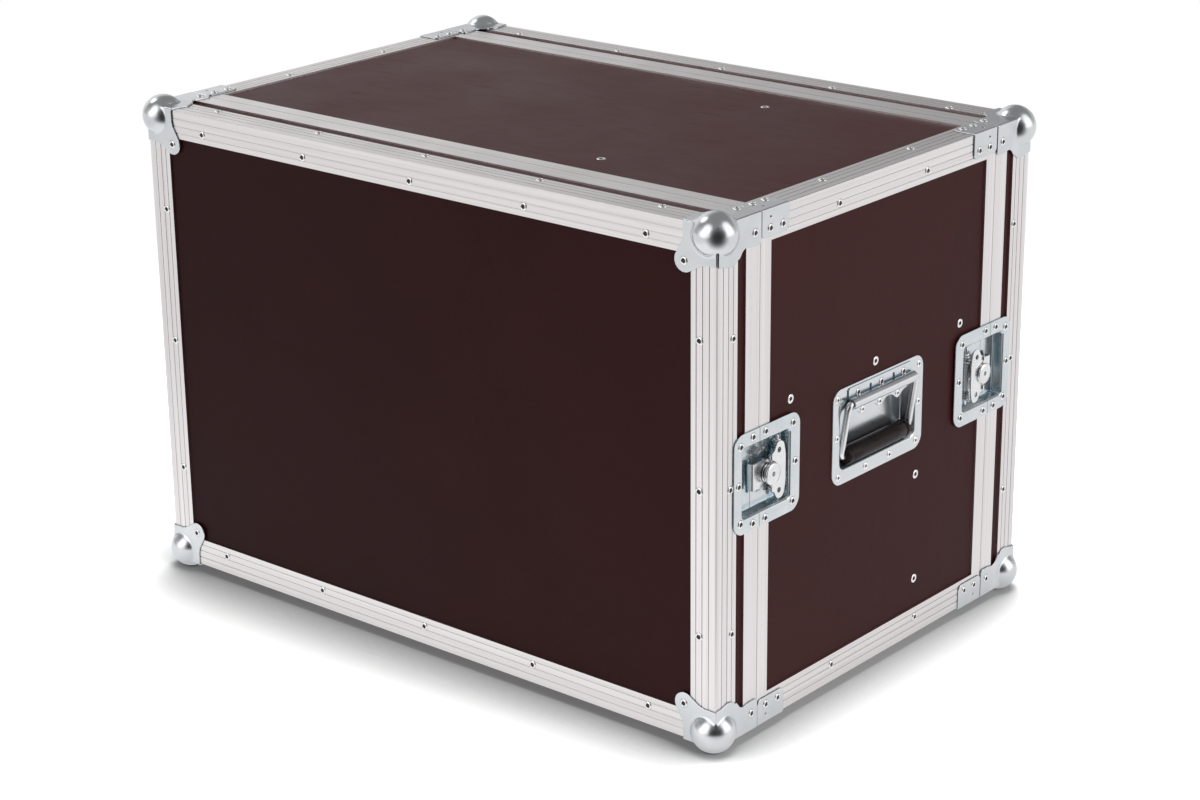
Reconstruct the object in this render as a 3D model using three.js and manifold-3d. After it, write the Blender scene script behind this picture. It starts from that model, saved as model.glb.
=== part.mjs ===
// Equipment rack case, 8 rack units high, with a removable lid at the front and one at the rear.
//
// Frame: +Z up, the front lid faces -Y, the carrying handles and latches sit on the +X and -X sides.
// The origin is on the floor under the middle of the case, and all lengths are millimetres.
//
// The plywood body is a sleeve of four panels. A channel extrusion frames each open end, angle extrusions
// cover the four long edges, and steel braces cover the places where they meet. Each lid is a plywood tray
// with an angle frame, a channel rim that closes on the body's rim, four ball corners and two latch keepers.
import * as THREE from 'three';
import { mergeVertices } from 'three/addons/utils/BufferGeometryUtils.js';
import Module from 'manifold-3d';

const wasm = await Module();
wasm.setup();

// ---- driving dimensions -------------------------------------------------------------------------------

const WIDTH = 552;                // over the aluminium, left to right
const DEPTH = 382;                // over the aluminium, front to rear
const HEIGHT = 375;               // over the aluminium, bottom to top
const PLY = 7;                    // plywood thickness
const SKIN = 1.5;                 // thickness of the aluminium over the plywood
const LID_DEPTH = 46.5;           // front face to parting line
const PARTING_GAP = 0.2;          // clearance of each side from the parting line

const BALL_RADIUS = 16;
const BALL_INSET = 8.25;          // ball centre, inward from each of its three outer planes
const REST_FLAT = 0.25;           // worn flat under each lower ball
const FOOT = BALL_RADIUS - BALL_INSET - REST_FLAT;   // height of the aluminium above the floor
const CORNER_SHEET = 1.2;         // steel sheet of the ball corners
const BRACE_SHEET = 1;
const BRACE_END = 77.5;           // rear end of a front brace, from the front face
const BRACE_WIDTH = 19;
const BRACE_CORNER = 5;

const ANGLE = 22;                 // leg of the angle extrusions
const ANGLE_ROUND = 0.8;          // radius of their outer edge
const GROOVES = [6.5, 12.2, 17.5];   // groove centres on each leg, from the outer edge
const GROOVE_WIDTH = 0.6;
const GROOVE_DEPTH = 0.4;
const BODY_BAND = 12.2;           // outer band of the body's rim
const LID_BAND = 15.5;            // outer band of the lid's rim
const RIM_WEB = 4;                // solid part of a rim between the parting line and the plywood
const INNER_LIP = 1.2;            // lip of the rim inside the plywood
const TONGUE = { from: 3.1, to: 5.6, height: 1.9 };
const TONGUE_ROOM = 0.3;

const RACK_UNIT = 44.45;
const RACK_UNITS = 8;
const RACK_HOLE = 9.5;            // square hole
const RACK_HOLE_X = 232.55;       // hole centres from the middle of the case
const RACK_HOLES_IN_UNIT = [6.35, 22.225, 38.1];
const RAIL_SHEET = 2;
const RAIL_INNER_X = 225;
const RAIL_SETBACK = 70;          // rail face behind the front face of the case
const RAIL_LEG = 30;

const LATCH = { halfHeight: 36.5, lidEnd: 28.5, bodyEnd: 46.5, corner: 10, flange: 1.2, sheet: 1 };
const LATCH_BAY = { halfHeight: 25.5, lidEnd: 18.9, bodyEnd: 35.1, depth: 7.3 };
const KEEPER_LIP = { from: -3.6, to: -2, height: 1.3, halfHeight: 12 };
const HOOK = { halfHeight: 9.5, tip: -5.5, tail: 26, top: -0.9, sheet: 1.2, claw: 4.7 };
const HOOK_TRAVEL = 8;
const HINGE_PIN = { s: 25.5, n: -3.4, radius: 1.5, halfLength: 22, barrel: 2.5 };
const KEY = { s: 11.2, shaft: 3.2, collar: 5, neck: 4, head: 7.5, headFrom: 3.4, headTop: 5.2, chamfer: 0.6 };
const KEY_SOCKET = { radius: 1.6, depth: 2 };
const WING = { n: 1.8, sheet: 1.2, reach: 16.3, notch: 8.4 };
const WING_LOBE = { s: 8.8, h: 15.8, radius: 5.2, shoulderS: 5.2, shoulderH: 18.6, end: 11.8 };
const WING_HOLE = { s: 8.8, h: 14.8, radius: 2 };
const WING_PIN = { n: 2.4, radius: 0.8, bore: 1.15, boss: 1.9, halfLength: 12.6, bossFrom: 9.9 };

const DISH = { halfLength: 56.5, halfHeight: 36.25, corner: 10, flange: 1.2, sheet: 1.2 };
const DISH_BAY = { halfLength: 46.5, bottom: -25, top: 19.5, depth: 12 };
const BAIL = { rod: 2.6, arm: 42.5, corner: 4, pinEnd: 26, axisN: 2.9, axisH: 23.5 };
const GRIP = { n: -3.5, h: -17.5, radius: 6.75, halfLength: 38 };
const BARREL = { outer: 4.2, bore: 3, halfLength: 39.3 };
const HINGE_PLATE = { top: 34.5, sheet: 1 };
const ARM_NOTCH = { low: 15.5, high: 27.7, depth: 0.2 };   // room for the rod's arms beside the barrel

// Outlines of a ball corner's plates, inward from the corner.
const FACE_PLATE = { reach: 27.8, waist: 11.5, lobe: 27, lobeRadius: 8.5 };
const SIDE_PLATE = { tab: 21.6, round: 3, start: 28, bulge: 14, bulgeTop: 29.4 };

const ROUND_SIDES = 16;
const SMALL_SIDES = 8;            // pins, bosses and other rounds of a few millimetres
const ARC_STEPS = 4;
const BALL_SIDES = 20;
const BAIL_STEPS = 40;

// ---- derived places -----------------------------------------------------------------------------------

const X_OUT = WIDTH / 2;
const Y_OUT = DEPTH / 2;
const Z_LOW = FOOT;
const Z_HIGH = FOOT + HEIGHT;
const Z_MID = (Z_LOW + Z_HIGH) / 2;
const Y_PART = Y_OUT - LID_DEPTH;
const WALL = SKIN + PLY;          // outer plane to the inner face of the plywood
const FRONT = -1;
const REAR = 1;
const RIGHT = 1;
const LEFT = -1;
const sideName = { [RIGHT]: 'right', [LEFT]: 'left' };
const endName = { [FRONT]: 'front', [REAR]: 'rear' };
const LEVELS = [['top', Z_HIGH, -1], ['bottom', Z_LOW, 1]];   // name, outer plane, inward direction

// ---- materials ----------------------------------------------------------------------------------------

function material(color, roughness, metalness) {
  return new THREE.MeshStandardMaterial({ color, roughness, metalness });
}

const film = material(0x3d2a2a, 0.42, 0);
const aluminium = material(0xd4d4d6, 0.34, 1);
const zinc = material(0xc4ccd2, 0.26, 1);
const chrome = material(0xdfe3e6, 0.16, 1);
const steel = material(0x9aa0a4, 0.4, 1);
const rubber = material(0x241a18, 0.6, 0);

// ---- solids -------------------------------------------------------------------------------------------

function signedVolume(points, triangles) {
  const a = new THREE.Vector3();
  const b = new THREE.Vector3();
  const c = new THREE.Vector3();
  let sum = 0;
  for (let i = 0; i < triangles.length; i += 3) {
    a.fromArray(points, 3 * triangles[i]);
    b.fromArray(points, 3 * triangles[i + 1]);
    c.fromArray(points, 3 * triangles[i + 2]);
    sum += a.dot(b.cross(c));
  }
  return sum;
}

// A closed geometry as a solid, with repeated vertices merged and the faces turned outward.
function solidOf(geometry) {
  const bare = geometry.clone();
  bare.deleteAttribute('normal');
  bare.deleteAttribute('uv');
  const merged = mergeVertices(bare, 1e-4);
  const points = Float32Array.from(merged.attributes.position.array);
  const kept = [];
  for (let i = 0; i < merged.index.count; i += 3) {
    const [a, b, c] = merged.index.array.slice(i, i + 3);
    if (a !== b && b !== c && c !== a) kept.push(a, b, c);
  }
  if (signedVolume(points, kept) < 0) kept.reverse();
  const triVerts = Uint32Array.from(kept);
  return new wasm.Manifold(new wasm.Mesh({ numProp: 3, vertProperties: points, triVerts }));
}

function geometryOf(solid) {
  const { vertProperties, triVerts } = solid.getMesh();
  const geometry = new THREE.BufferGeometry();
  geometry.setAttribute('position', new THREE.BufferAttribute(Float32Array.from(vertProperties), 3));
  geometry.setIndex(new THREE.BufferAttribute(Uint32Array.from(triVerts), 1));
  geometry.computeVertexNormals();
  return geometry;
}

function joined(first, ...others) {
  return others.reduce((sum, solid) => sum.add(solid), first);
}

function box(x0, x1, y0, y1, z0, z1) {
  const geometry = new THREE.BoxGeometry(x1 - x0, y1 - y0, z1 - z0);
  return solidOf(geometry.translate((x0 + x1) / 2, (y0 + y1) / 2, (z0 + z1) / 2));
}

// A rod along the local Y axis of the three.js cylinder, turned to the wanted axis.
function rod(axis, radius, from, to, centre, sides = ROUND_SIDES) {
  const geometry = new THREE.CylinderGeometry(radius, radius, to - from, sides);
  geometry.translate(0, (from + to) / 2, 0);
  if (axis === 'x') geometry.rotateZ(-Math.PI / 2);
  if (axis === 'z') geometry.rotateX(Math.PI / 2);
  return solidOf(geometry.translate(...centre));
}

// Planes for flat shapes: the shape's two axes, then the direction it is extruded in.
const X_AXIS = new THREE.Vector3(1, 0, 0);
const Y_AXIS = new THREE.Vector3(0, 1, 0);
const Z_AXIS = new THREE.Vector3(0, 0, 1);
const planes = {
  yz: new THREE.Matrix4().makeBasis(Y_AXIS, Z_AXIS, X_AXIS),
  zx: new THREE.Matrix4().makeBasis(Z_AXIS, X_AXIS, Y_AXIS),
  yx: new THREE.Matrix4().makeBasis(Y_AXIS, X_AXIS, Z_AXIS),
};

function plate(plane, shape, from, to) {
  const depth = to - from;
  const geometry = new THREE.ExtrudeGeometry(shape, { depth, bevelEnabled: false, curveSegments: ARC_STEPS });
  geometry.translate(0, 0, from);
  return solidOf(geometry.applyMatrix4(planes[plane]));
}

function outline(points) {
  return new THREE.Shape(points.map(([a, b]) => new THREE.Vector2(a, b)));
}

// A rectangle with one radius for the corners on its low side and one for those on its high side.
function roundedRectangle(a0, a1, b0, b1, lowRadius, highRadius) {
  const shape = new THREE.Shape();
  shape.moveTo(a0 + lowRadius, b0);
  shape.lineTo(a1 - highRadius, b0);
  if (highRadius > 0) shape.absarc(a1 - highRadius, b0 + highRadius, highRadius, -Math.PI / 2, 0, false);
  shape.lineTo(a1, b1 - highRadius);
  if (highRadius > 0) shape.absarc(a1 - highRadius, b1 - highRadius, highRadius, 0, Math.PI / 2, false);
  shape.lineTo(a0 + lowRadius, b1);
  if (lowRadius > 0) shape.absarc(a0 + lowRadius, b1 - lowRadius, lowRadius, Math.PI / 2, Math.PI, false);
  shape.lineTo(a0, b0 + lowRadius);
  if (lowRadius > 0) shape.absarc(a0 + lowRadius, b0 + lowRadius, lowRadius, Math.PI, 1.5 * Math.PI, false);
  return shape;
}

// ---- the object's group -------------------------------------------------------------------------------

const rackCase = new THREE.Group();
rackCase.name = 'rack_case';

// Adds a solid made in its own frame, mirrored by the given signs and set at a place.
function addPart(name, solid, partMaterial, place = [0, 0, 0], signs = [1, 1, 1]) {
  const geometry = geometryOf(solid).scale(...signs);
  if (signs[0] * signs[1] * signs[2] < 0) geometry.index.array.reverse();
  geometry.computeVertexNormals();
  const mesh = new THREE.Mesh(geometry, partMaterial);
  mesh.name = name;
  mesh.position.set(...place);
  rackCase.add(mesh);
}

// ---- body: plywood sleeve -----------------------------------------------------------------------------

const Y_PLY = Y_PART - RIM_WEB;   // ends of the body's plywood
const LATCH_CLEAR = LATCH.sheet + 0.3;
const BAY_DEPTH = LATCH_BAY.depth + LATCH.sheet + 0.1;

// Room for a latch's pressed bay, cut through the rims, the body's side panel and the lid's side.
function latchRoom(side, end) {
  const toLid = LATCH_BAY.lidEnd + LATCH_CLEAR;
  const toBody = LATCH_BAY.bodyEnd + LATCH_CLEAR;
  const y = [end * (Y_PART + toLid), end * (Y_PART - toBody)].sort((a, b) => a - b);
  const x = [side * (X_OUT - BAY_DEPTH), side * (X_OUT + 1)].sort((a, b) => a - b);
  const half = LATCH_BAY.halfHeight + LATCH_CLEAR;
  return box(...x, ...y, Z_MID - half, Z_MID + half);
}

function handleRoom(side) {
  const clear = DISH.sheet + 0.3;
  const x = [side * (X_OUT - WALL - 1), side * (X_OUT + 1)].sort((a, b) => a - b);
  const halfLength = DISH_BAY.halfLength + clear;
  return box(...x, -halfLength, halfLength, Z_MID + DISH_BAY.bottom - clear, Z_MID + DISH_BAY.top + clear);
}

function sidePanel(side) {
  const x = [side * (X_OUT - WALL), side * (X_OUT - SKIN)].sort((a, b) => a - b);
  const panel = box(...x, -Y_PLY, Y_PLY, Z_LOW + SKIN, Z_HIGH - SKIN);
  return panel.subtract(latchRoom(side, FRONT)).subtract(latchRoom(side, REAR)).subtract(handleRoom(side));
}

for (const side of [LEFT, RIGHT]) addPart(`side_panel_${sideName[side]}`, sidePanel(side), film);
const innerX = X_OUT - WALL;
addPart('top_panel', box(-innerX, innerX, -Y_PLY, Y_PLY, Z_HIGH - WALL, Z_HIGH - SKIN), film);
addPart('bottom_panel', box(-innerX, innerX, -Y_PLY, Y_PLY, Z_LOW + SKIN, Z_LOW + WALL), film);

// ---- aluminium frames and angles ----------------------------------------------------------------------

// Outline points of the narrow grooves along a leg's outer face, which lies at depth 0.
const grooves = GROOVES.flatMap((at) => [
  [at - GROOVE_WIDTH / 2, 0],
  [at - GROOVE_WIDTH / 2, GROOVE_DEPTH],
  [at + GROOVE_WIDTH / 2, GROOVE_DEPTH],
  [at + GROOVE_WIDTH / 2, 0],
]);
const swapped = (points) => points.map(([a, b]) => [b, a]).reverse();
const roundMiddle = ANGLE_ROUND * (1 - Math.SQRT1_2);

// Section of the angle extrusion: both legs lie inward of the two outer planes that meet at (0, 0).
const angleSection = [
  [0, ANGLE_ROUND],
  [roundMiddle, roundMiddle],
  [ANGLE_ROUND, 0],
  ...grooves,
  [ANGLE, 0],
  [ANGLE, SKIN],
  [SKIN, SKIN],
  [SKIN, ANGLE],
  [0, ANGLE],
  ...swapped(grooves),
];

// Sections of the rims as (inset from the outer plane, distance from the parting line).
const CHANNEL_INSIDE = WALL + INNER_LIP;
const channelSection = (band) => [
  [CHANNEL_INSIDE, BODY_BAND],
  [WALL, BODY_BAND],
  [WALL, RIM_WEB],
  [SKIN, RIM_WEB],
  [SKIN, band],
  [0, band],
];
const bodyRimSection = [
  [0, PARTING_GAP],
  [TONGUE.from - TONGUE_ROOM, PARTING_GAP],
  [TONGUE.from - TONGUE_ROOM, PARTING_GAP + TONGUE.height + TONGUE_ROOM],
  [TONGUE.to + TONGUE_ROOM, PARTING_GAP + TONGUE.height + TONGUE_ROOM],
  [TONGUE.to + TONGUE_ROOM, PARTING_GAP],
  [CHANNEL_INSIDE, PARTING_GAP],
  ...channelSection(BODY_BAND),
];
const lidRimSection = [
  [0, PARTING_GAP],
  [TONGUE.from, PARTING_GAP],
  [TONGUE.from, PARTING_GAP - TONGUE.height],
  [TONGUE.to, PARTING_GAP - TONGUE.height],
  [TONGUE.to, PARTING_GAP],
  [CHANNEL_INSIDE, PARTING_GAP],
  ...channelSection(LID_BAND),
];

// A section swept round the case's rectangle with mitred corners. The section's second number runs from
// the plane y = start, in the direction of the sign.
function mitredFrame(section, start, direction) {
  const corners = [[1, 1], [-1, 1], [-1, -1], [1, -1]];
  const points = corners.flatMap(([sx, sz]) =>
    section.map(([inset, along]) => [
      sx * (X_OUT - inset),
      start + direction * along,
      Z_MID + sz * (HEIGHT / 2 - inset),
    ]));
  const count = section.length;
  const index = [];
  for (let corner = 0; corner < 4; corner += 1) {
    const next = (corner + 1) % 4;
    for (let i = 0; i < count; i += 1) {
      const j = (i + 1) % count;
      const [a, b, c, d] = [corner * count + i, next * count + i, next * count + j, corner * count + j];
      index.push(a, b, c, a, c, d);
    }
  }
  const geometry = new THREE.BufferGeometry();
  geometry.setAttribute('position', new THREE.Float32BufferAttribute(points.flat(), 3));
  geometry.setIndex(index);
  return solidOf(geometry);
}

function withoutLatchRooms(solid, end) {
  return solid.subtract(latchRoom(LEFT, end)).subtract(latchRoom(RIGHT, end));
}

for (const end of [FRONT, REAR]) {
  const rim = mitredFrame(bodyRimSection, end * Y_PART, -end);
  addPart(`${endName[end]}_rim`, withoutLatchRooms(rim, end), aluminium);
}

// The four angles along the body's long edges, between the rims. The section is drawn inward from the edge.
const angleHalf = Y_PART - BODY_BAND;
for (const [level, z, zSign] of LEVELS) {
  for (const side of [LEFT, RIGHT]) {
    const angle = plate('zx', outline(angleSection), -angleHalf, angleHalf);
    const name = `edge_angle_${level}_${sideName[side]}`;
    addPart(name, angle, aluminium, [side * X_OUT, 0, z], [-side, 1, zSign]);
  }
}

// ---- corner braces ------------------------------------------------------------------------------------

// An L of sheet bent over the long edge. Drawn inward from the edge: a across, c down, y from the front.
function cornerBrace() {
  const start = LID_DEPTH + PARTING_GAP;
  const beyond = BRACE_END + BRACE_WIDTH;
  const leg = roundedRectangle(start - BRACE_SHEET, BRACE_END, -BRACE_SHEET, BRACE_WIDTH, 0, BRACE_CORNER);
  const upright = plate('yz', leg, -BRACE_SHEET, 0);
  const level = plate('yx', leg, -BRACE_SHEET, 0);
  const ahead = box(-beyond, beyond, 0, start, -beyond, beyond);
  const above = box(-beyond, beyond, 0, beyond, -beyond, -BRACE_SHEET);
  return joined(upright, level).subtract(ahead).subtract(above);
}

for (const [level, z, zSign] of LEVELS) {
  for (const side of [LEFT, RIGHT]) {
    for (const end of [FRONT, REAR]) {
      const name = `corner_brace_${level}_${endName[end]}_${sideName[side]}`;
      addPart(name, cornerBrace(), zinc, [side * X_OUT, end * Y_OUT, z], [-side, -end, zSign]);
    }
  }
}

// ---- rack rails ---------------------------------------------------------------------------------------

const RAIL_END_GAP = 1;
const RAIL_LOW = Z_LOW + WALL + RAIL_END_GAP;
const RAIL_HIGH = Z_HIGH - WALL - RAIL_END_GAP;

function rackRail() {
  const face = -Y_OUT + RAIL_SETBACK;
  const legFrom = face + RAIL_SHEET / 2;
  const front = box(RAIL_INNER_X, innerX, face, face + RAIL_SHEET, RAIL_LOW, RAIL_HIGH);
  let rail = front.add(box(innerX - RAIL_SHEET, innerX, legFrom, face + RAIL_LEG, RAIL_LOW, RAIL_HIGH));
  const firstUnit = Z_MID - (RACK_UNITS * RACK_UNIT) / 2;
  const half = RACK_HOLE / 2;
  for (let unit = 0; unit < RACK_UNITS; unit += 1) {
    for (const offset of RACK_HOLES_IN_UNIT) {
      const z = firstUnit + unit * RACK_UNIT + offset;
      const across = [RACK_HOLE_X - half, RACK_HOLE_X + half];
      rail = rail.subtract(box(...across, face - 1, face + RAIL_SHEET + 1, z - half, z + half));
    }
  }
  return rail;
}

for (const end of [FRONT, REAR]) {
  for (const side of [LEFT, RIGHT]) {
    addPart(`rack_rail_${endName[end]}_${sideName[side]}`, rackRail(), steel, [0, 0, 0], [side, -end, 1]);
  }
}

// ---- latches ------------------------------------------------------------------------------------------
// Drawn for the front right latch: x outward from the aluminium's face, y from the parting line into the
// body, z from the latch's middle.

function latchHalf(from, to, bay) {
  const rounds = from < 0 ? [LATCH.corner, 0] : [0, LATCH.corner];
  const shape = roundedRectangle(from, to, -LATCH.halfHeight, LATCH.halfHeight, ...rounds);
  const flange = plate('yz', shape, 0, LATCH.flange);
  const sheet = LATCH.sheet;
  const half = LATCH_BAY.halfHeight;
  const outer = [Math.max(bay[0] - sheet, from), Math.min(bay[1] + sheet, to)];
  const tub = box(-LATCH_BAY.depth - sheet, LATCH.flange / 2, ...outer, -half - sheet, half + sheet);
  const hollow = box(-LATCH_BAY.depth, LATCH.flange + 1, ...bay, -half, half);
  return joined(flange, tub).subtract(hollow);
}

function latchDish() {
  return latchHalf(PARTING_GAP, LATCH.bodyEnd, [-1, LATCH_BAY.bodyEnd]);
}

function latchKeeper() {
  const half = latchHalf(-LATCH.lidEnd, -PARTING_GAP, [-LATCH_BAY.lidEnd, 1]);
  const floor = -LATCH_BAY.depth;
  const lip = box(floor - LATCH.sheet / 2, floor + KEEPER_LIP.height, KEEPER_LIP.from, KEEPER_LIP.to,
    -KEEPER_LIP.halfHeight, KEEPER_LIP.halfHeight);
  return half.add(lip);
}

// The claw plate, its rolled end and the hinge pin, which all slide together.
function latchHook() {
  const low = HOOK.top - HOOK.sheet;
  const sheet = box(low, HOOK.top, HOOK.tip, HOOK.tail, -HOOK.halfHeight, HOOK.halfHeight);
  const claw = box(HOOK.top - HOOK.claw, HOOK.top - HOOK.sheet / 2, HOOK.tip, HOOK.tip + HOOK.sheet,
    -HOOK.halfHeight, HOOK.halfHeight);
  const half = KEY.shaft + 0.4;
  const slotEnds = [KEY.s - half, KEY.s + HOOK_TRAVEL + half];
  const slotShape = roundedRectangle(...slotEnds, -half, half, half - 0.01, half - 0.01);
  const slot = plate('yz', slotShape, low - 1, HOOK.top + 1);
  const centre = [HINGE_PIN.n, HINGE_PIN.s, 0];
  const barrel = rod('z', HINGE_PIN.barrel, -HOOK.halfHeight, HOOK.halfHeight, centre, SMALL_SIDES);
  const pin = rod('z', HINGE_PIN.radius, -HINGE_PIN.halfLength, HINGE_PIN.halfLength, centre, SMALL_SIDES);
  return joined(sheet, claw, barrel, pin).subtract(slot);
}

// The turning stud with its collar, its round head and the cross pin that carries the wing.
function latchKey() {
  const gap = 0.3;                // clearance from the floor of the bay and from the wing
  const collarFrom = HOOK.top + 0.4;
  const profile = [
    [0, -LATCH_BAY.depth + gap],
    [KEY.shaft, -LATCH_BAY.depth + gap],
    [KEY.shaft, collarFrom],
    [KEY.collar, collarFrom],
    [KEY.collar, WING.n - gap],
    [KEY.neck, WING.n],
    [KEY.neck, KEY.headFrom],
    [KEY.head, KEY.headFrom],
    [KEY.head, KEY.headTop - KEY.chamfer],
    [KEY.head - KEY.chamfer, KEY.headTop],
    [KEY_SOCKET.radius, KEY.headTop],
    [KEY_SOCKET.radius, KEY.headTop - KEY_SOCKET.depth],
    [0, KEY.headTop - KEY_SOCKET.depth],
  ];
  const turned = new THREE.LatheGeometry(profile.map(([r, n]) => new THREE.Vector2(r, n)), ROUND_SIDES);
  const stud = solidOf(turned.rotateZ(-Math.PI / 2).translate(0, KEY.s, 0));
  const { n, radius, halfLength } = WING_PIN;
  return stud.add(rod('z', radius, -halfLength, halfLength, [n, KEY.s, 0], SMALL_SIDES));
}

// The butterfly wing: a plate with two round lobes, notched round the head and hinged on the cross pin.
function latchWing() {
  const { s } = KEY;
  const root = s + 0.1;           // edge beside the cross pin
  const rootEnds = [WING.notch + 1.4, WING_PIN.halfLength + 1];
  const notchSide = [s + 3, WING.notch + 0.4];
  const notchTurn = 0.38 * Math.PI;
  const lobeS = s + WING_LOBE.s;
  const shoulderS = s + WING_LOBE.shoulderS;
  const lobeTurn = 0.75 * Math.PI;
  const shape = new THREE.Shape();
  shape.moveTo(root, rootEnds[0]);
  shape.lineTo(root, rootEnds[1]);
  shape.lineTo(shoulderS, WING_LOBE.shoulderH);
  shape.absarc(lobeS, WING_LOBE.h, WING_LOBE.radius, lobeTurn, 0, true);
  shape.lineTo(s + WING.reach, WING_LOBE.end);
  shape.lineTo(s + WING.reach, -WING_LOBE.end);
  shape.absarc(lobeS, -WING_LOBE.h, WING_LOBE.radius, 0, -lobeTurn, true);
  shape.lineTo(root, -rootEnds[1]);
  shape.lineTo(root, -rootEnds[0]);
  shape.lineTo(notchSide[0], -notchSide[1]);
  shape.absarc(s, 0, WING.notch, -notchTurn, notchTurn, false);
  shape.lineTo(...notchSide);
  let wing = plate('yz', shape, WING.n, WING.n + WING.sheet);
  const centre = [WING_PIN.n, s, 0];
  const bossEnd = WING_PIN.halfLength + 1;
  for (const ends of [[WING_PIN.bossFrom, bossEnd], [-bossEnd, -WING_PIN.bossFrom]]) {
    wing = wing.add(rod('z', WING_PIN.boss, ...ends, centre, SMALL_SIDES));
  }
  for (const h of [-WING_HOLE.h, WING_HOLE.h]) {
    const through = 2 * (WING.n + WING.sheet);
    wing = wing.subtract(rod('x', WING_HOLE.radius, 0, through, [0, s + WING_HOLE.s, h], SMALL_SIDES));
  }
  const bore = rod('z', WING_PIN.bore, -bossEnd - 1, bossEnd + 1, centre, SMALL_SIDES);
  return wing.subtract(bore);
}

for (const end of [FRONT, REAR]) {
  for (const side of [LEFT, RIGHT]) {
    const place = [side * X_OUT, end * Y_PART, Z_MID];
    const signs = [side, -end, 1];
    const suffix = `${endName[end]}_${sideName[side]}`;
    addPart(`latch_dish_${suffix}`, latchDish(), zinc, place, signs);
    addPart(`latch_keeper_${suffix}`, latchKeeper(), zinc, place, signs);
    addPart(`latch_hook_${suffix}`, latchHook(), chrome, place, signs);
    addPart(`latch_key_${suffix}`, latchKey(), chrome, place, signs);
    addPart(`latch_wing_${suffix}`, latchWing(), chrome, place, signs);
  }
}

// ---- handles ------------------------------------------------------------------------------------------
// Drawn for the right side: x outward from the aluminium's face, y along the case, z from the dish's middle.

function handleDish() {
  const { halfLength, bottom, top, depth } = DISH_BAY;
  const { sheet, flange } = DISH;
  const ends = [-DISH.halfLength, DISH.halfLength, -DISH.halfHeight, DISH.halfHeight];
  const rimPlate = plate('yz', roundedRectangle(...ends, DISH.corner, DISH.corner), -SKIN, flange - SKIN);
  const tubLength = halfLength + sheet;
  const tub = box(-depth - sheet, -SKIN / 2, -tubLength, tubLength, bottom - sheet, top + sheet);
  const hollow = box(-depth, flange + 1, -halfLength, halfLength, bottom, top);
  const { axisN, axisH } = BAIL;
  const hinge = box(-SKIN / 2, -SKIN + flange + HINGE_PLATE.sheet, -BARREL.halfLength, BARREL.halfLength,
    axisH, HINGE_PLATE.top);
  const axis = [axisN, 0, axisH];
  const barrel = rod('y', BARREL.outer, -BARREL.halfLength, BARREL.halfLength, axis);
  const bore = rod('y', BARREL.bore, -BARREL.halfLength - 1, BARREL.halfLength + 1, axis);
  let dish = joined(rimPlate, tub).subtract(hollow).add(hinge).add(barrel).subtract(bore);
  for (const side of [-1, 1]) {
    const y = [side * BARREL.halfLength, side * halfLength].sort((a, b) => a - b);
    const notch = box(-SKIN - ARM_NOTCH.depth, 2 * BARREL.outer, ...y, ARM_NOTCH.low, ARM_NOTCH.high);
    dish = dish.subtract(notch);
  }
  return dish;
}

// The bent rod with the moulded grip on its lower bar.
function handleBail() {
  const { rod: radius, arm, corner, pinEnd, axisN, axisH } = BAIL;
  const at = (y, t) => new THREE.Vector3(axisN + t * (GRIP.n - axisN), y, axisH + t * (GRIP.h - axisH));
  const bend = corner / (axisH - GRIP.h);
  const path = new THREE.CurvePath();
  const stops = [
    [at(-pinEnd, 0), at(-arm + corner, 0), at(-arm, 0), at(-arm, bend)],
    [at(-arm, bend), at(-arm, 1 - bend), at(-arm, 1), at(-arm + corner, 1)],
    [at(-arm + corner, 1), at(arm - corner, 1), at(arm, 1), at(arm, 1 - bend)],
    [at(arm, 1 - bend), at(arm, bend), at(arm, 0), at(arm - corner, 0)],
  ];
  for (const [start, straightEnd, knee, curveEnd] of stops) {
    path.add(new THREE.LineCurve3(start, straightEnd));
    path.add(new THREE.QuadraticBezierCurve3(straightEnd, knee, curveEnd));
  }
  path.add(new THREE.LineCurve3(at(arm - corner, 0), at(pinEnd, 0)));
  const section = new THREE.Shape().absarc(0, 0, radius, 0, 2 * Math.PI, false);
  const bent = new THREE.ExtrudeGeometry(section, { steps: BAIL_STEPS, extrudePath: path, curveSegments: 5 });
  const grip = rod('y', GRIP.radius, -GRIP.halfLength, GRIP.halfLength, [GRIP.n, 0, GRIP.h]);
  return solidOf(bent).add(grip);
}

for (const side of [LEFT, RIGHT]) {
  const place = [side * X_OUT, 0, Z_MID];
  addPart(`handle_dish_${sideName[side]}`, handleDish(), zinc, place, [side, 1, 1]);
  addPart(`handle_bail_${sideName[side]}`, handleBail(), rubber, place, [side, 1, 1]);
}

// ---- lids ---------------------------------------------------------------------------------------------

// Face panel and four sides of plywood, open towards the body.
function lidTray(end) {
  const outerX = X_OUT - SKIN;
  const faceOut = Y_OUT - SKIN;
  const sideEnd = Y_PART + RIM_WEB;
  const faceIn = faceOut - PLY;
  const along = (a, b) => [end * a, end * b].sort((p, q) => p - q);
  const block = box(-outerX, outerX, ...along(sideEnd, faceOut), Z_LOW + SKIN, Z_HIGH - SKIN);
  const room = box(-innerX, innerX, ...along(sideEnd - 1, faceIn), Z_LOW + WALL, Z_HIGH - WALL);
  return withoutLatchRooms(block.subtract(room), end);
}

// Outline of a ball corner's plate on the lid's face, drawn inward from the corner.
function facePlateShape() {
  const { reach, waist, lobe, lobeRadius } = FACE_PLATE;
  const shape = new THREE.Shape();
  shape.moveTo(-CORNER_SHEET, -CORNER_SHEET);
  shape.lineTo(reach, -CORNER_SHEET);
  shape.lineTo(reach, waist);
  shape.absarc(lobe, lobe, lobeRadius, -0.28 * Math.PI, 0.78 * Math.PI, false);
  shape.lineTo(waist, reach);
  shape.lineTo(-CORNER_SHEET, reach);
  return shape;
}

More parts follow.
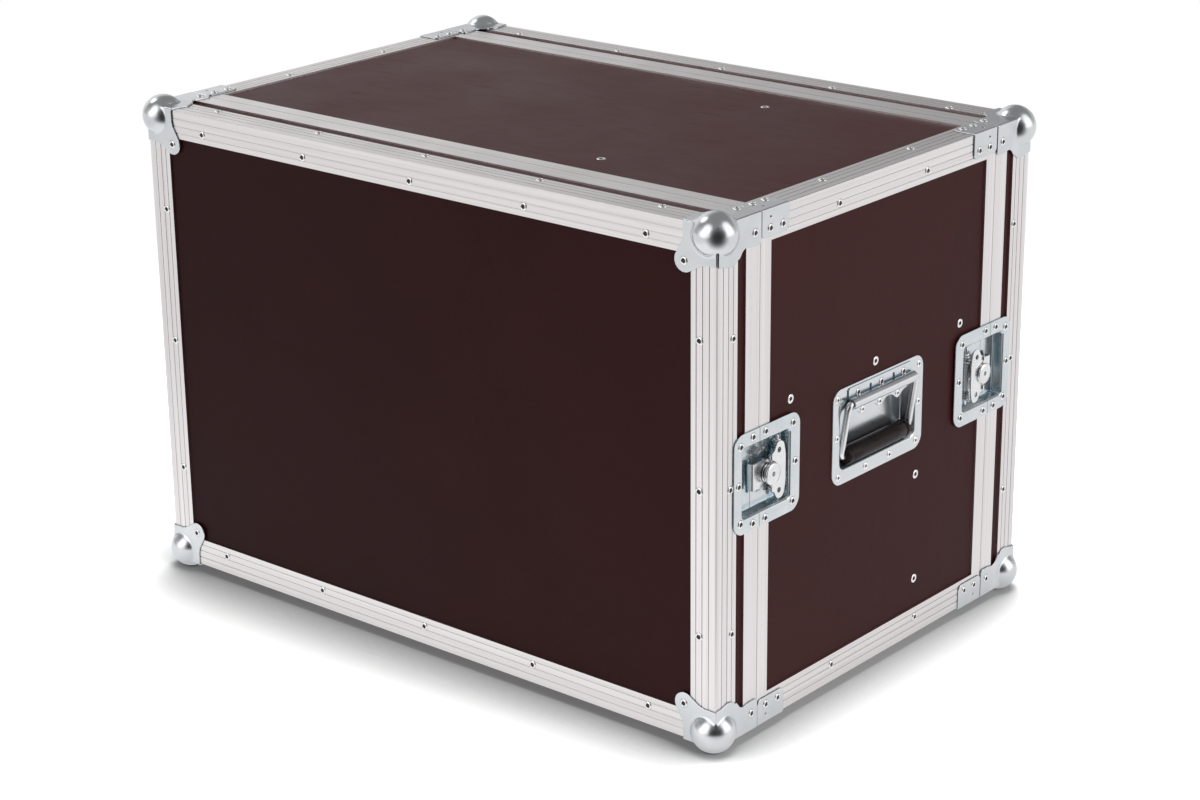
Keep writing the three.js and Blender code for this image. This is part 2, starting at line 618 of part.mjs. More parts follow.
// Outline on the lid's narrow sides, first number from the front face to just short of the parting line.
// A tab runs to the parting line, with a hollow between it and the bulge beside the ball.
function sidePlateShape() {
  const end = LID_DEPTH - PARTING_GAP;
  const { tab, round, start, bulge, bulgeTop } = SIDE_PLATE;
  const hollow = [[34, tab - 0.5], [29, tab - 1], [26.5, tab + 2], [22, bulgeTop - 0.4]];
  const shape = new THREE.Shape();
  shape.moveTo(-CORNER_SHEET, -CORNER_SHEET);
  shape.lineTo(end, -CORNER_SHEET);
  shape.lineTo(end, tab - round);
  shape.quadraticCurveTo(end, tab, end - round, tab);
  shape.lineTo(...hollow[0]);
  shape.quadraticCurveTo(...hollow[1], ...hollow[2]);
  shape.quadraticCurveTo(...hollow[3], bulge, bulgeTop);
  shape.lineTo(-CORNER_SHEET, start);
  return shape;
}

// Ball and three plates, drawn inward from the corner along +x, +y and +z. The lowest balls are worn flat.
function ballCorner(isLower) {
  const sheet = CORNER_SHEET;
  const beyond = LID_DEPTH + BALL_RADIUS;
  const sphere = new THREE.SphereGeometry(BALL_RADIUS, BALL_SIDES, BALL_SIDES / 2);
  sphere.rotateX(Math.PI / 2);
  const ball = solidOf(sphere.translate(BALL_INSET, BALL_INSET, BALL_INSET));
  const side = plate('yz', sidePlateShape(), -sheet, 0);
  const level = plate('yx', sidePlateShape(), -sheet, 0);
  const face = plate('zx', facePlateShape(), -sheet, 0);
  const caseRoom = box(0, beyond, 0, beyond, 0, beyond);
  const floor = box(-beyond, beyond, -beyond, beyond, -beyond, -FOOT);
  const corner = joined(ball, side, level, face).subtract(caseRoom);
  return isLower ? corner.subtract(floor) : corner;
}

for (const end of [FRONT, REAR]) {
  const lid = `${endName[end]}_lid`;
  addPart(`${lid}_tray`, lidTray(end), film);
  addPart(`${lid}_edge_frame`, mitredFrame(angleSection, end * Y_OUT, -end), aluminium);
  addPart(`${lid}_rim`, withoutLatchRooms(mitredFrame(lidRimSection, end * Y_PART, end), end), aluminium);
  for (const [level, z, zSign] of LEVELS) {
    for (const side of [LEFT, RIGHT]) {
      const name = `ball_corner_${level}_${endName[end]}_${sideName[side]}`;
      const corner = ballCorner(level === 'bottom');
      addPart(name, corner, zinc, [side * X_OUT, end * Y_OUT, z], [-side, -end, zSign]);
    }
  }
}

export default rackCase;
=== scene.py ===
"""Equipment rack case: looks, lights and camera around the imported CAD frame."""
import math

import bmesh
import bpy
import numpy as np
from mathutils import Matrix, Vector
from mathutils.geometry import tessellate_polygon


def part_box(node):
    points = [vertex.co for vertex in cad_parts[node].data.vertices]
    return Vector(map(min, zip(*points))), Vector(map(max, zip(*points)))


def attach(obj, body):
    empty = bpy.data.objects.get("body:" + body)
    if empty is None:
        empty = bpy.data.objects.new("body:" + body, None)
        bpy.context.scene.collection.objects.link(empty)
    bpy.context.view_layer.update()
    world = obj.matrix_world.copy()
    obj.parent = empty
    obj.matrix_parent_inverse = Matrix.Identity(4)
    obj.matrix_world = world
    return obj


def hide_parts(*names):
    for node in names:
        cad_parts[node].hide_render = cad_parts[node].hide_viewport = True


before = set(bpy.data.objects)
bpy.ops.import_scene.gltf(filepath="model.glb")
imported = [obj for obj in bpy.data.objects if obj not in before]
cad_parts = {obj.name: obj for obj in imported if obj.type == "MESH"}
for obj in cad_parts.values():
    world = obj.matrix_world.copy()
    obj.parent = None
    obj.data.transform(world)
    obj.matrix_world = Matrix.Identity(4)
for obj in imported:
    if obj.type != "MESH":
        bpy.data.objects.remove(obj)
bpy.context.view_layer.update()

# ---- places, in millimetres, read from the frame ----

MM = 0.001
lid_low, lid_high = (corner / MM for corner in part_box("front_lid_edge_frame"))
rim_low, rim_high = (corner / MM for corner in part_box("front_rim"))
X_OUT = lid_high.x
Y_OUT = -lid_low.y
Z_LOW = lid_low.z
Z_HIGH = lid_high.z
Z_MID = (Z_LOW + Z_HIGH) / 2
PARTING_GAP = 0.2
Y_PART = -rim_low.y + PARTING_GAP
LID_DEPTH = Y_OUT - Y_PART
FOOT = Z_LOW
SKIN = 1.5
RIM_WIDTH = 12.2
FAR = 50.0           # a distance past every shape, for the distance fields
QUARTER = np.radians(range(0, 91, 15))      # a quarter turn, for bends

SIDES = {"left": -1, "right": 1}
ENDS = {"front": -1, "rear": 1}
LEVELS = {"top": 1, "bottom": -1}


# ---- shapes: a shape is (vertices as an N x 3 array, list of faces) ----

def merge(*shapes):
    vertices, faces, count = [], [], 0
    for points, polygons in shapes:
        vertices.append(points)
        faces += [tuple(i + count for i in polygon) for polygon in polygons]
        count += len(points)
    return np.concatenate(vertices), faces


def flipped(faces):
    return [tuple(reversed(face)) for face in faces]


def signed_volume(shape):
    points, faces = shape
    total = 0.0
    for face in faces:
        a = points[face[0]]
        for i in range(1, len(face) - 1):
            total += np.dot(a, np.cross(points[face[i]], points[face[i + 1]]))
    return total


def outward(shape):
    points, faces = shape
    return (points, flipped(faces)) if signed_volume(shape) < 0 else shape


def placed(shape, place=(0, 0, 0), signs=(1, 1, 1)):
    """The shape mirrored by the signs and moved to a place."""
    points, faces = shape
    moved = points * np.array(signs, float) + np.array(place, float)
    return moved, (flipped(faces) if np.prod(signs) < 0 else faces)


def stamped(shape, origin, normal):
    """A shape drawn with +x outward, turned so that +x points along the normal, set at the origin."""
    points, faces = shape
    n = np.array(normal, float)
    side = np.array((0, 0, 1.0)) if abs(n[2]) < 0.5 else np.array((1.0, 0, 0))
    basis = np.stack([n, np.cross(side, n), side])
    return points @ basis + np.array(origin, float), faces


def arc(a, b, radius, start, end, steps):
    """Points on a circle, with angles in degrees."""
    angles = np.radians(np.linspace(start, end, steps + 1))
    return [(a + radius * math.cos(t), b + radius * math.sin(t)) for t in angles]


def rounded_rectangle(a0, a1, b0, b1, radius, steps=8):
    """One point list round a rectangle, counter-clockwise, always with the same number of points."""
    r = max(radius, 1e-3)
    return (arc(a1 - r, b0 + r, r, -90, 0, steps) + arc(a1 - r, b1 - r, r, 0, 90, steps)
            + arc(a0 + r, b1 - r, r, 90, 180, steps) + arc(a0 + r, b0 + r, r, 180, 270, steps))


def lathe(profile, sides):
    """A turned shape. The profile lists (radius, height along x) and starts and ends on the axis."""
    inner = profile[1:-1]
    angles = np.linspace(0, 2 * math.pi, sides, endpoint=False)
    rings = [[(h, r * math.cos(t), r * math.sin(t)) for t in angles] for r, h in inner]
    points = [(profile[0][1], 0, 0)] + [p for ring in rings for p in ring] + [(profile[-1][1], 0, 0)]
    faces = []
    for i in range(sides):
        j = (i + 1) % sides
        faces.append((0, 1 + j, 1 + i))
        for ring in range(len(inner) - 1):
            low, high = 1 + ring * sides, 1 + (ring + 1) * sides
            faces.append((low + i, low + j, high + j, high + i))
        last = 1 + (len(inner) - 1) * sides
        faces.append((last + i, last + j, len(points) - 1))
    return outward((np.array(points, float), faces))


def tube(path, radius, sides):
    """A round bar along a path of points, with rounded ends."""
    def beyond(station, sign):
        """Two narrower rings past an end of the bar, the outer one first."""
        centre, direction, across = station
        return [(centre + direction * radius * reach * 0.6 * sign, direction, across, width)
                for reach, width in ((1, 0.6), (0.6, 0.88))]

    centres = [Vector(p) for p in path]
    directions = []
    for i, centre in enumerate(centres):
        before = centres[max(i - 1, 0)]
        after = centres[min(i + 1, len(centres) - 1)]
        directions.append((after - before).normalized())
    normal = directions[0].orthogonal().normalized()
    stations = []
    for centre, direction in zip(centres, directions):
        normal = (normal - direction * normal.dot(direction)).normalized()
        stations.append((centre, direction, normal))
    full = beyond(stations[0], -1) + [(*station, 1.0) for station in stations] + beyond(stations[-1], 1)[::-1]
    points, faces = [], []
    for centre, direction, across, width in full:
        other = direction.cross(across)
        for k in range(sides):
            t = 2 * math.pi * k / sides
            points.append(centre + (across * math.cos(t) + other * math.sin(t)) * radius * width)
    for ring in range(len(full) - 1):
        low, high = ring * sides, (ring + 1) * sides
        for k in range(sides):
            j = (k + 1) % sides
            faces.append((low + k, low + j, high + j, high + k))
    faces.append(tuple(reversed(range(sides))))
    faces.append(tuple(range((len(full) - 1) * sides, len(full) * sides)))
    return outward((np.array([tuple(p) for p in points], float), faces))


def flat_plate(outline, low, high, holes=()):
    """A plate with holes: the outline is in (y, z) and the plate lies between x = low and x = high."""
    loops = [list(outline)] + [list(hole) for hole in holes]
    flat = [point for loop in loops for point in loop]
    count = len(flat)
    triangles = tessellate_polygon([[Vector((a, b, 0)) for a, b in loop] for loop in loops])
    points = [(high, a, b) for a, b in flat] + [(low, a, b) for a, b in flat]
    faces = []
    for tri in triangles:
        a, b, c = (Vector((*flat[i], 0)) for i in tri)
        turned = tri if (b - a).cross(c - a).z > 0 else tuple(reversed(tri))
        faces.append(tuple(turned))
        faces.append(tuple(i + count for i in reversed(turned)))
    start = 0
    for number, loop in enumerate(loops):
        size = len(loop)
        area = sum(loop[i - 1][0] * loop[i][1] - loop[i][0] * loop[i - 1][1] for i in range(size))
        runs_left = (area > 0) == (number == 0)
        for i in range(size):
            a, b = start + i, start + (i + 1) % size
            quad = (a, a + count, b + count, b)
            faces.append(quad if runs_left else tuple(reversed(quad)))
        start += size
    return np.array(points, float), faces


def lofted(loops):
    """A closed shape from loops of equal length, with both end loops filled."""
    size = len(loops[0])
    points = np.array([p for loop in loops for p in loop], float)
    faces = [tuple(range(size)), tuple(reversed(range((len(loops) - 1) * size, len(loops) * size)))]
    for ring in range(len(loops) - 1):
        low, high = ring * size, (ring + 1) * size
        for i in range(size):
            j = (i + 1) % size
            faces.append((low + i, high + i, high + j, low + j))
    return outward((points, faces))


DRAFT = 0.8          # how much narrower a pressed bay is at its floor, on each side


def pressed_dish(flange, bay, top, sheet, depth, corner, bay_corner, fillet):
    """A dish pressed from sheet: a flat flange round a filleted bay. flange and bay are (y0, y1, z0, z1)."""
    def loop(box, grow, radius, x):
        y0, y1, z0, z1 = box
        ring = rounded_rectangle(y0 - grow, y1 + grow, z0 - grow, z1 + grow, max(radius + grow, 0.4))
        return [(x, a, b) for a, b in ring]

    floor = top - depth
    turns = np.radians((0, 22, 45, 68, 90))
    foot = -DRAFT - fillet
    rows = [(bay, foot - 2.5, floor), (bay, foot, floor)]
    rows += [(bay, foot + fillet * math.sin(t), floor + fillet * (1 - math.cos(t))) for t in turns[1:]]
    rows += [(bay, -0.3 * DRAFT, top - fillet - 0.2)]
    rows += [(bay, fillet * (1 - math.cos(t)), top - fillet + fillet * math.sin(t)) for t in turns]
    under = [(box, grow + (0 if grow > fillet - 0.05 else sheet * 0.8), x - sheet) for box, grow, x in rows]
    edge = [(flange, grow, top - drop) for grow, drop in ((-0.6, 0), (-0.18, 0.14), (0.0, 0.5), (0.0, sheet))]
    loops = [loop(box, grow, bay_corner, x) for box, grow, x in rows]
    loops += [loop(box, grow, corner, x) for box, grow, x in edge]
    loops += [loop(box, grow, bay_corner, x) for box, grow, x in reversed(under)]
    return lofted(loops)


def thick(path, thickness):
    """The closed section of a strip that follows a path of 2-D points."""
    points = [Vector(p) for p in path]
    left, right = [], []
    for i, point in enumerate(points):
        along = (points[min(i + 1, len(points) - 1)] - points[max(i - 1, 0)]).normalized()
        across = Vector((-along.y, along.x)) * thickness / 2
        left.append(tuple(point + across))
        right.append(tuple(point - across))
    return left + right[::-1]


def bent_strip(path, thickness, half_width):
    """Sheet bent along a path of (x, y) points, straight across its width."""
    section = thick(path, thickness)
    return lofted([[(x, y, z) for x, y in section] for z in (-half_width, half_width)])


def cut_at(shape, y, keep_high):
    """The part of a closed shape on one side of the plane at y, closed again."""
    points, faces = shape
    bm = bmesh.new()
    made = [bm.verts.new(p) for p in points]
    for face in faces:
        bm.faces.new([made[i] for i in face])
    geometry = bm.verts[:] + bm.edges[:] + bm.faces[:]
    facing = (0, -1 if keep_high else 1, 0)
    bmesh.ops.bisect_plane(bm, geom=geometry, plane_co=(0, y, 0), plane_no=facing, clear_outer=True)
    rim = [e for e in bm.edges if e.is_boundary]
    bmesh.ops.holes_fill(bm, edges=rim, sides=0)
    bmesh.ops.recalc_face_normals(bm, faces=bm.faces[:])
    bm.verts.index_update()
    kept = np.array([tuple(v.co) for v in bm.verts], float)
    polygons = [tuple(v.index for v in f.verts) for f in bm.faces]
    bm.free()
    return outward((kept, polygons))


# ---- shapes from distance fields, for pressed sheet with flowing blends ----

def soft_min(a, b, blend):
    h = np.clip(0.5 + 0.5 * (b - a) / blend, 0, 1)
    return b * (1 - h) + a * h - blend * h * (1 - h)


def soft_max(a, b, blend):
    return -soft_min(-a, -b, blend)


def outline_distance(outline, a, b):
    """Signed distance from points (a, b) to a closed outline, negative inside."""
    corners = np.array(outline, float)
    nearest = np.full(a.shape, 1e9)
    inside = np.zeros(a.shape, bool)
    for (x0, y0), (x1, y1) in zip(corners, np.roll(corners, -1, axis=0)):
        dx, dy = x1 - x0, y1 - y0
        t = np.clip(((a - x0) * dx + (b - y0) * dy) / max(dx * dx + dy * dy, 1e-12), 0, 1)
        nearest = np.minimum(nearest, (a - x0 - t * dx) ** 2 + (b - y0 - t * dy) ** 2)
        crosses = (y0 > b) != (y1 > b)
        if dy:
            inside ^= crosses & (a < x0 + (b - y0) * dx / dy)
    return np.where(inside, -1, 1) * np.sqrt(nearest)


def surface_net(field, low, high, step):
    """The zero surface of a distance field as quads, with its vertices moved onto the surface."""
    axes = [np.arange(lo, hi + step, step) for lo, hi in zip(low, high)]
    grid = np.stack(np.meshgrid(*axes, indexing="ij"), -1)
    values = field(grid.reshape(-1, 3)).reshape(grid.shape[:3])
    inside = values < 0
    corners = [(i, j, k) for i in (0, 1) for j in (0, 1) for k in (0, 1)]
    shape = tuple(n - 1 for n in values.shape)
    window = [tuple(slice(o, o + n) for o, n in zip(c, shape)) for c in corners]
    count = sum(inside[w].astype(np.int8) for w in window)
    cells = np.argwhere((count > 0) & (count < 8))
    number = np.full(shape, -1, int)
    number[tuple(cells.T)] = np.arange(len(cells))
    total = np.zeros((len(cells), 3))
    hits = np.zeros((len(cells), 1))
    for axis in range(3):
        along = np.eye(3, dtype=int)[axis]
        for corner in corners:
            if corner[axis]:
                continue
            p = cells + np.array(corner)
            q = p + along
            v0, v1 = values[tuple(p.T)], values[tuple(q.T)]
            crossing = (v0 < 0) != (v1 < 0)
            t = np.where(crossing, v0 / np.where(crossing, v0 - v1, 1), 0)
            total += np.where(crossing[:, None], p + t[:, None] * along, 0)
            hits += crossing[:, None]
    points = np.array(low) + total / hits * step
    for _ in range(4):
        points -= field_step(field, points, step)
    faces = []
    for axis in range(3):
        e, f = (axis + 1) % 3, (axis + 2) % 3
        first = np.delete(inside, -1, axis)
        edges = np.argwhere(first != np.delete(inside, 0, axis))
        within = (edges > 0) & (edges < shape)
        edges = edges[within[:, e] & within[:, f]]
        leaving = first[tuple(edges.T)]
        ring = []
        for de, df in ((1, 1), (0, 1), (0, 0), (1, 0)):
            shift = np.zeros(3, int)
            shift[e], shift[f] = de, df
            ring.append(number[tuple((edges - shift).T)])
        quads = np.stack(ring, 1)
        quads[~leaving] = quads[~leaving][:, ::-1]
        faces += [tuple(q) for q in quads.tolist()]
    return points, faces


def field_step(field, points, step):
    """How far to move each point to reach the field's zero surface, at most half a cell."""
    small = 0.02          # millimetres, for the slope of the field
    value = field(points)
    gradient = np.stack([(field(points + small * axis) - field(points - small * axis)) / (2 * small)
                         for axis in np.eye(3)], 1)
    length = np.maximum(np.linalg.norm(gradient, axis=1), 0.3)
    move = np.clip(value / length, -step / 2, step / 2)
    return (move / length)[:, None] * gradient


# ---- pieces ----

def add_piece(name, shape, material, body, replaces=(), bevel=0.0, angle=35):
    """Makes an object of a shape in millimetres and lets it ride on a body."""
    points, faces = shape
    mesh = bpy.data.meshes.new(name)
    mesh.from_pydata((points * MM).tolist(), [], faces)
    mesh.validate()
    mesh.materials.append(material)
    mesh.shade_smooth()
    mesh.set_sharp_from_angle(angle=math.radians(angle))
    piece = bpy.data.objects.new(name, mesh)
    bpy.context.scene.collection.objects.link(piece)
    if bevel:
        soften(piece, bevel)
    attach(piece, body)
    if replaces:
        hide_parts(*replaces)
    return piece


def soften(piece, width):
    """Rounds the edges of a piece by a width in millimetres."""
    rounding = piece.modifiers.new("edge rounding", "BEVEL")
    rounding.width = width * MM
    rounding.segments = 2
    rounding.limit_method = "ANGLE"
    rounding.angle_limit = math.radians(30)
    rounding.harden_normals = True


# ---- materials ----

class Shader:
    """Short calls for building a material's node tree."""

    def __init__(self, name):
        self.material = bpy.data.materials.new(name)
        self.material.use_nodes = True
        self.tree = self.material.node_tree
        self.surface = self.tree.nodes["Principled BSDF"]
        self.place = self.tree.nodes.new("ShaderNodeTexCoord").outputs["Object"]

    def link(self, source, target):
        self.tree.links.new(source, target)

    def put(self, value, socket):
        if isinstance(value, bpy.types.NodeSocket):
            self.link(value, socket)
        else:
            socket.default_value = value

    def node(self, kind, **settings):
        made = self.tree.nodes.new(kind)
        for key, value in settings.items():
            setattr(made, key, value)
        return made

    def math(self, operation, a, b=0.0, c=0.0):
        made = self.node("ShaderNodeMath", operation=operation)
        for socket, value in zip(made.inputs, (a, b, c)):
            self.put(value, socket)
        return made.outputs[0]

    def stretched(self, scale):
        """The object's place in millimetres, scaled by a factor for each axis."""
        made = self.node("ShaderNodeVectorMath", operation="MULTIPLY")
        self.link(self.place, made.inputs[0])
        made.inputs[1].default_value = tuple(s / MM for s in scale)
        return made.outputs[0]

    def noise(self, scale, detail=3.0, roughness=0.55):
        made = self.node("ShaderNodeTexNoise")
        self.link(self.stretched(scale), made.inputs["Vector"])
        made.inputs["Scale"].default_value = 1.0
        made.inputs["Detail"].default_value = detail
        made.inputs["Roughness"].default_value = roughness
        return made.outputs["Fac"]

    def ramp(self, value, low, high, start=0.3, end=0.7):
        made = self.node("ShaderNodeMapRange", clamp=True)
        for socket, setting in zip(made.inputs, (value, start, end, low, high)):
            self.put(setting, socket)
        return made.outputs[0]

    def mix_colour(self, factor, a, b):
        made = self.node("ShaderNodeMix", data_type="RGBA")
        self.put(factor, made.inputs[0])
        self.put(a, made.inputs[6])
        self.put(b, made.inputs[7])
        return made.outputs[2]

    def mix_value(self, factor, a, b):
        made = self.node("ShaderNodeMix", data_type="FLOAT")
        for socket, value in zip((made.inputs[0], made.inputs[2], made.inputs[3]), (factor, a, b)):
            self.put(value, socket)
        return made.outputs[0]

    def bump(self, height, distance, strength, normal=None):
        made = self.node("ShaderNodeBump")
        made.inputs["Strength"].default_value = strength
        made.inputs["Distance"].default_value = distance * MM
        self.link(height, made.inputs["Height"])
        if normal is not None:
            self.link(normal, made.inputs["Normal"])
        return made.outputs["Normal"]

    def painted_crevice_shade(self, colour, reach, dark):
        """The colour, darkened where other surfaces stand within reach: painted shade in creases, hollows and
        joins.
        """
        made = self.node("ShaderNodeAmbientOcclusion", samples=6)
        made.inputs["Distance"].default_value = reach * MM
        return self.mix_colour(self.ramp(made.outputs["AO"], 0.0, 1.0, 0.30, 0.92), dark, colour)

    def finish(self, colour, roughness, metallic, normal=None, **others):
        self.put(colour, self.surface.inputs["Base Color"])
        self.put(roughness, self.surface.inputs["Roughness"])
        self.put(metallic, self.surface.inputs["Metallic"])
        if normal is not None:
            self.link(normal, self.surface.inputs["Normal"])
        for key, value in others.items():
            self.put(value, self.surface.inputs[key.replace("_", " ")])
        return self.material


def phenolic_film():
    """Brown resin film on plywood: satin, faintly mottled, with an orange peel and handling marks."""
    s = Shader("phenolic_film")
    clouds = s.noise((0.010, 0.010, 0.010), 4)
    speckle = s.noise((0.8, 0.8, 0.8), 2)
    colour = s.mix_colour(s.ramp(clouds, 0.0, 1.0), (0.0235, 0.0046, 0.0050, 1), (0.0285, 0.0063, 0.0067, 1))
    colour = s.mix_colour(s.ramp(speckle, 0.0, 0.35, 0.45, 0.75), colour, (0.036, 0.0095, 0.0100, 1))
    marks = s.noise((0.02, 0.16, 0.05), 5, 0.7)
    roughness = s.math("ADD", s.ramp(clouds, 0.36, 0.45), s.ramp(marks, 0.0, 0.08, 0.55, 0.75))
    grain = s.noise((1.2, 1.2, 1.2), 3)
    waves = s.noise((0.03, 0.03, 0.03), 2)
    normal = s.bump(grain, 0.05, 0.5, s.bump(waves, 0.6, 0.35))
    return s.finish(colour, roughness, 0.0, normal, Specular_IOR_Level=0.08)


def extruded_aluminium():
    """Mill-finish extrusion: die lines run along each length, with soft smears across them."""
    s = Shader("extruded_aluminium")
    parts = s.node("ShaderNodeSeparateXYZ")
    s.link(s.place, parts.inputs[0])
    from_side = s.math("SUBTRACT", X_OUT * MM, s.math("ABSOLUTE", parts.outputs[0]))
    height = s.math("ABSOLUTE", s.math("SUBTRACT", parts.outputs[2], Z_MID * MM))
    from_level = s.math("SUBTRACT", (Z_HIGH - Z_MID) * MM, height)
    upright = s.math("LESS_THAN", from_side, from_level)
    body_edge = s.math("LESS_THAN", s.math("ABSOLUTE", parts.outputs[1]), (Y_PART - RIM_WIDTH) * MM)

    def along_length(fine, coarse):
        standing = s.noise((fine, fine, coarse), 3, 0.6)
        lying = s.noise((coarse, fine, fine), 3, 0.6)
        deep = s.noise((fine, coarse, fine), 3, 0.6)
        return s.mix_value(body_edge, s.mix_value(upright, lying, standing), deep)

    lines = along_length(1.9, 0.006)
    bands = along_length(0.42, 0.002)
    smears = s.noise((0.018, 0.018, 0.018), 4, 0.6)
    colour = s.mix_colour(s.ramp(bands, 0.0, 1.0), (0.78, 0.745, 0.750, 1), (0.90, 0.868, 0.872, 1))
    colour = s.mix_colour(s.ramp(lines, 0.0, 0.4, 0.5, 0.75), colour, (0.66, 0.64, 0.645, 1))
    roughness = s.math("ADD", s.ramp(lines, 0.26, 0.36), s.ramp(smears, -0.04, 0.07))
    normal = s.bump(lines, 0.02, 0.4, s.bump(bands, 0.08, 0.4))
    # Painted shade: the colour darkens to a grey within 0.9 mm of other surfaces, in grooves and joins.
    return s.finish(s.painted_crevice_shade(colour, 0.9, (0.68, 0.65, 0.65, 1)), roughness, 1.0, normal)


def zinc_plate(name, tint, shade, roughness_low, roughness_high, metallic=1.0, reach=2.0):
    """Bright zinc on pressed steel, with a faint bluish cloud and a fine orange peel, and painted shade of
    the shade colour within reach of other surfaces.
    """
    s = Shader(name)
    clouds = s.noise((0.05, 0.05, 0.05), 3, 0.5)
    peel = s.noise((0.5, 0.5, 0.5), 2)
    scuffs = s.noise((0.2, 0.9, 0.5), 3, 0.6)
    pale = (0.75, 0.768, 0.785, 1)
    colour = s.mix_colour(s.ramp(clouds, 0.0, 1.0), pale, tint)
    worn = s.ramp(scuffs, 0.0, 0.05, 0.5, 0.8)
    roughness = s.math("ADD", s.ramp(clouds, roughness_low, roughness_high), worn)
    normal = s.bump(peel, 0.02, 0.25, s.bump(clouds, 0.10, 0.2))
    # Painted shade: the colour turns to the shade colour within reach of other surfaces.
    return s.finish(s.painted_crevice_shade(colour, reach, shade), roughness, metallic, normal)


def bright_steel():
    """Polished plated steel of the latch mechanism and the handle's rod."""
    s = Shader("bright_steel")
    clouds = s.noise((0.12, 0.12, 0.12), 3)
    scuffs = s.noise((0.5, 1.2, 0.8), 3, 0.6)
    colour = s.mix_colour(s.ramp(clouds, 0.0, 1.0), (0.90, 0.90, 0.90, 1), (0.82, 0.825, 0.84, 1))
    roughness = s.math("ADD", s.ramp(clouds, 0.19, 0.26), s.ramp(scuffs, 0.0, 0.05, 0.5, 0.8))
    # Painted shade: the colour darkens to a dark grey within 1 mm of other surfaces.
    colour = s.painted_crevice_shade(colour, 1.0, (0.32, 0.33, 0.34, 1))
    return s.finish(colour, roughness, 0.97, s.bump(scuffs, 0.008, 0.15))


def rivet_steel():
    """Plated rivets and screws, a little duller than the latch's steel."""
    s = Shader("rivet_steel")
    clouds = s.noise((0.4, 0.4, 0.4), 2)
    colour = s.mix_colour(clouds, (0.97, 0.96, 0.955, 1), (0.90, 0.895, 0.90, 1))
    return s.finish(colour, s.ramp(clouds, 0.20, 0.30), 1.0, s.bump(clouds, 0.03, 0.3))


def rail_steel():
    """Duller zinc on the rack rails inside the case."""
    s = Shader("rail_steel")
    clouds = s.noise((0.05, 0.05, 0.02), 4)
    lines = s.noise((2.0, 2.0, 0.01), 2)
    colour = s.mix_colour(s.ramp(clouds, 0.0, 1.0), (0.50, 0.52, 0.54, 1), (0.62, 0.63, 0.65, 1))
    return s.finish(colour, s.ramp(clouds, 0.34, 0.48), 1.0, s.bump(lines, 0.05, 0.4))


def moulded_grip():
    """Dark brown moulded plastic with a fine leather-like grain and a worn sheen."""
    s = Shader("moulded_grip")
    grain = s.node("ShaderNodeTexVoronoi")
    s.link(s.stretched((1.5, 1.5, 1.5)), grain.inputs["Vector"])
    grain.inputs["Scale"].default_value = 1.0
    wear = s.noise((0.08, 0.05, 0.08), 4, 0.6)
    colour = s.mix_colour(s.ramp(wear, 0.0, 1.0), (0.0065, 0.0042, 0.0038, 1), (0.0125, 0.008, 0.0072, 1))
    normal = s.bump(grain.outputs["Distance"], 0.08, 0.4)
    return s.finish(colour, s.ramp(wear, 0.24, 0.34), 0.0, normal, Specular_IOR_Level=0.14)


def painted_recess_shade():
    """Painted shade for the unlit inside of a rivet or a screw socket: a dark colour, mottled at random."""
    s = Shader("painted_recess_shade")
    shade_mottle = s.noise((1.0, 1.0, 1.0), 2)
    return s.finish(s.mix_colour(shade_mottle, (0.02, 0.018, 0.018, 1), (0.06, 0.055, 0.05, 1)), 0.7, 0.3)


FILM = phenolic_film()
ALUMINIUM = extruded_aluminium()
# The shade colours are painted shade within reach of other surfaces: 2 mm on the corners, 6 mm in the latch
# bays, which tints nearly the whole bay dark teal, and 4 mm in the handle dishes.
CORNER_ZINC = zinc_plate("corner_zinc", (0.67, 0.70, 0.725, 1), (0.14, 0.15, 0.17, 1), 0.20, 0.27)
DISH_ZINC = zinc_plate("dish_zinc", (0.65, 0.71, 0.75, 1), (0.20, 0.44, 0.54, 1), 0.13, 0.19, 0.95, 6.0)
HANDLE_ZINC = zinc_plate("handle_zinc", (0.71, 0.74, 0.77, 1), (0.32, 0.44, 0.53, 1), 0.15, 0.22, 0.95, 4.0)
BRIGHT = bright_steel()
RIVET = rivet_steel()
RAIL = rail_steel()
GRIP = moulded_grip()
DARK = painted_recess_shade()


# ---- CAD nodes that stay ----

def dress_frame():
    """Gives every CAD node that stays in view its material and rounded edges."""
    for name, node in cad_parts.items():
        if name.startswith("rack_rail"):
            material, width = RAIL, 0.3
        elif name.endswith(("_rim", "_edge_frame")) or name.startswith("edge_angle"):
            material, width = ALUMINIUM, 0.22
        elif name.endswith("_tray") or "panel" in name:
            material, width = FILM, 0.25
        else:
            continue
        node.data.materials.clear()
        node.data.materials.append(material)
        node.data.shade_flat()
        soften(node, width)


dress_frame()


# ---- ball corners ----
# Drawn inward from the case's corner: x across, y from the lid's face towards the body, z up or down.

BALL_RADIUS = 16
BALL_INSET = 8.25
CORNER_SHEET = 1.2
HIDDEN_DEPTH = 0.4          # how far pressed sheet reaches into the aluminium, out of sight


def face_plate_outline():
    """The plate on the lid's face, with one round lobe on the diagonal."""
    return ([(-4, -4), (27.2, -4), (27.6, 4), (27.6, 9), (28.6, 13.5), (31.4, 18.2)]
            + arc(26.8, 26.8, 8.4, -38, 128, 14)
            + [(18.2, 31.4), (13.5, 28.6), (9, 27.6), (4, 27.6), (-4, 27.2)])


def side_plate_outline():
    """The plate on a narrow side of the lid, first number from the face, ending at the parting line."""
    end = LID_DEPTH - PARTING_GAP
    return ([(-4, -4), (end, -4)] + arc(end - 3, 18.8, 3, 0, 90, 4) + [(38, 21.7), (34, 21.3)]
            + arc(30.6, 27.6, 6.9, -75, -150, 5) + [(22.4, 26.9)] + arc(13.4, 20.6, 9.6, 40, 100, 6)
            + [(6, 28.6), (-4, 27.6)])


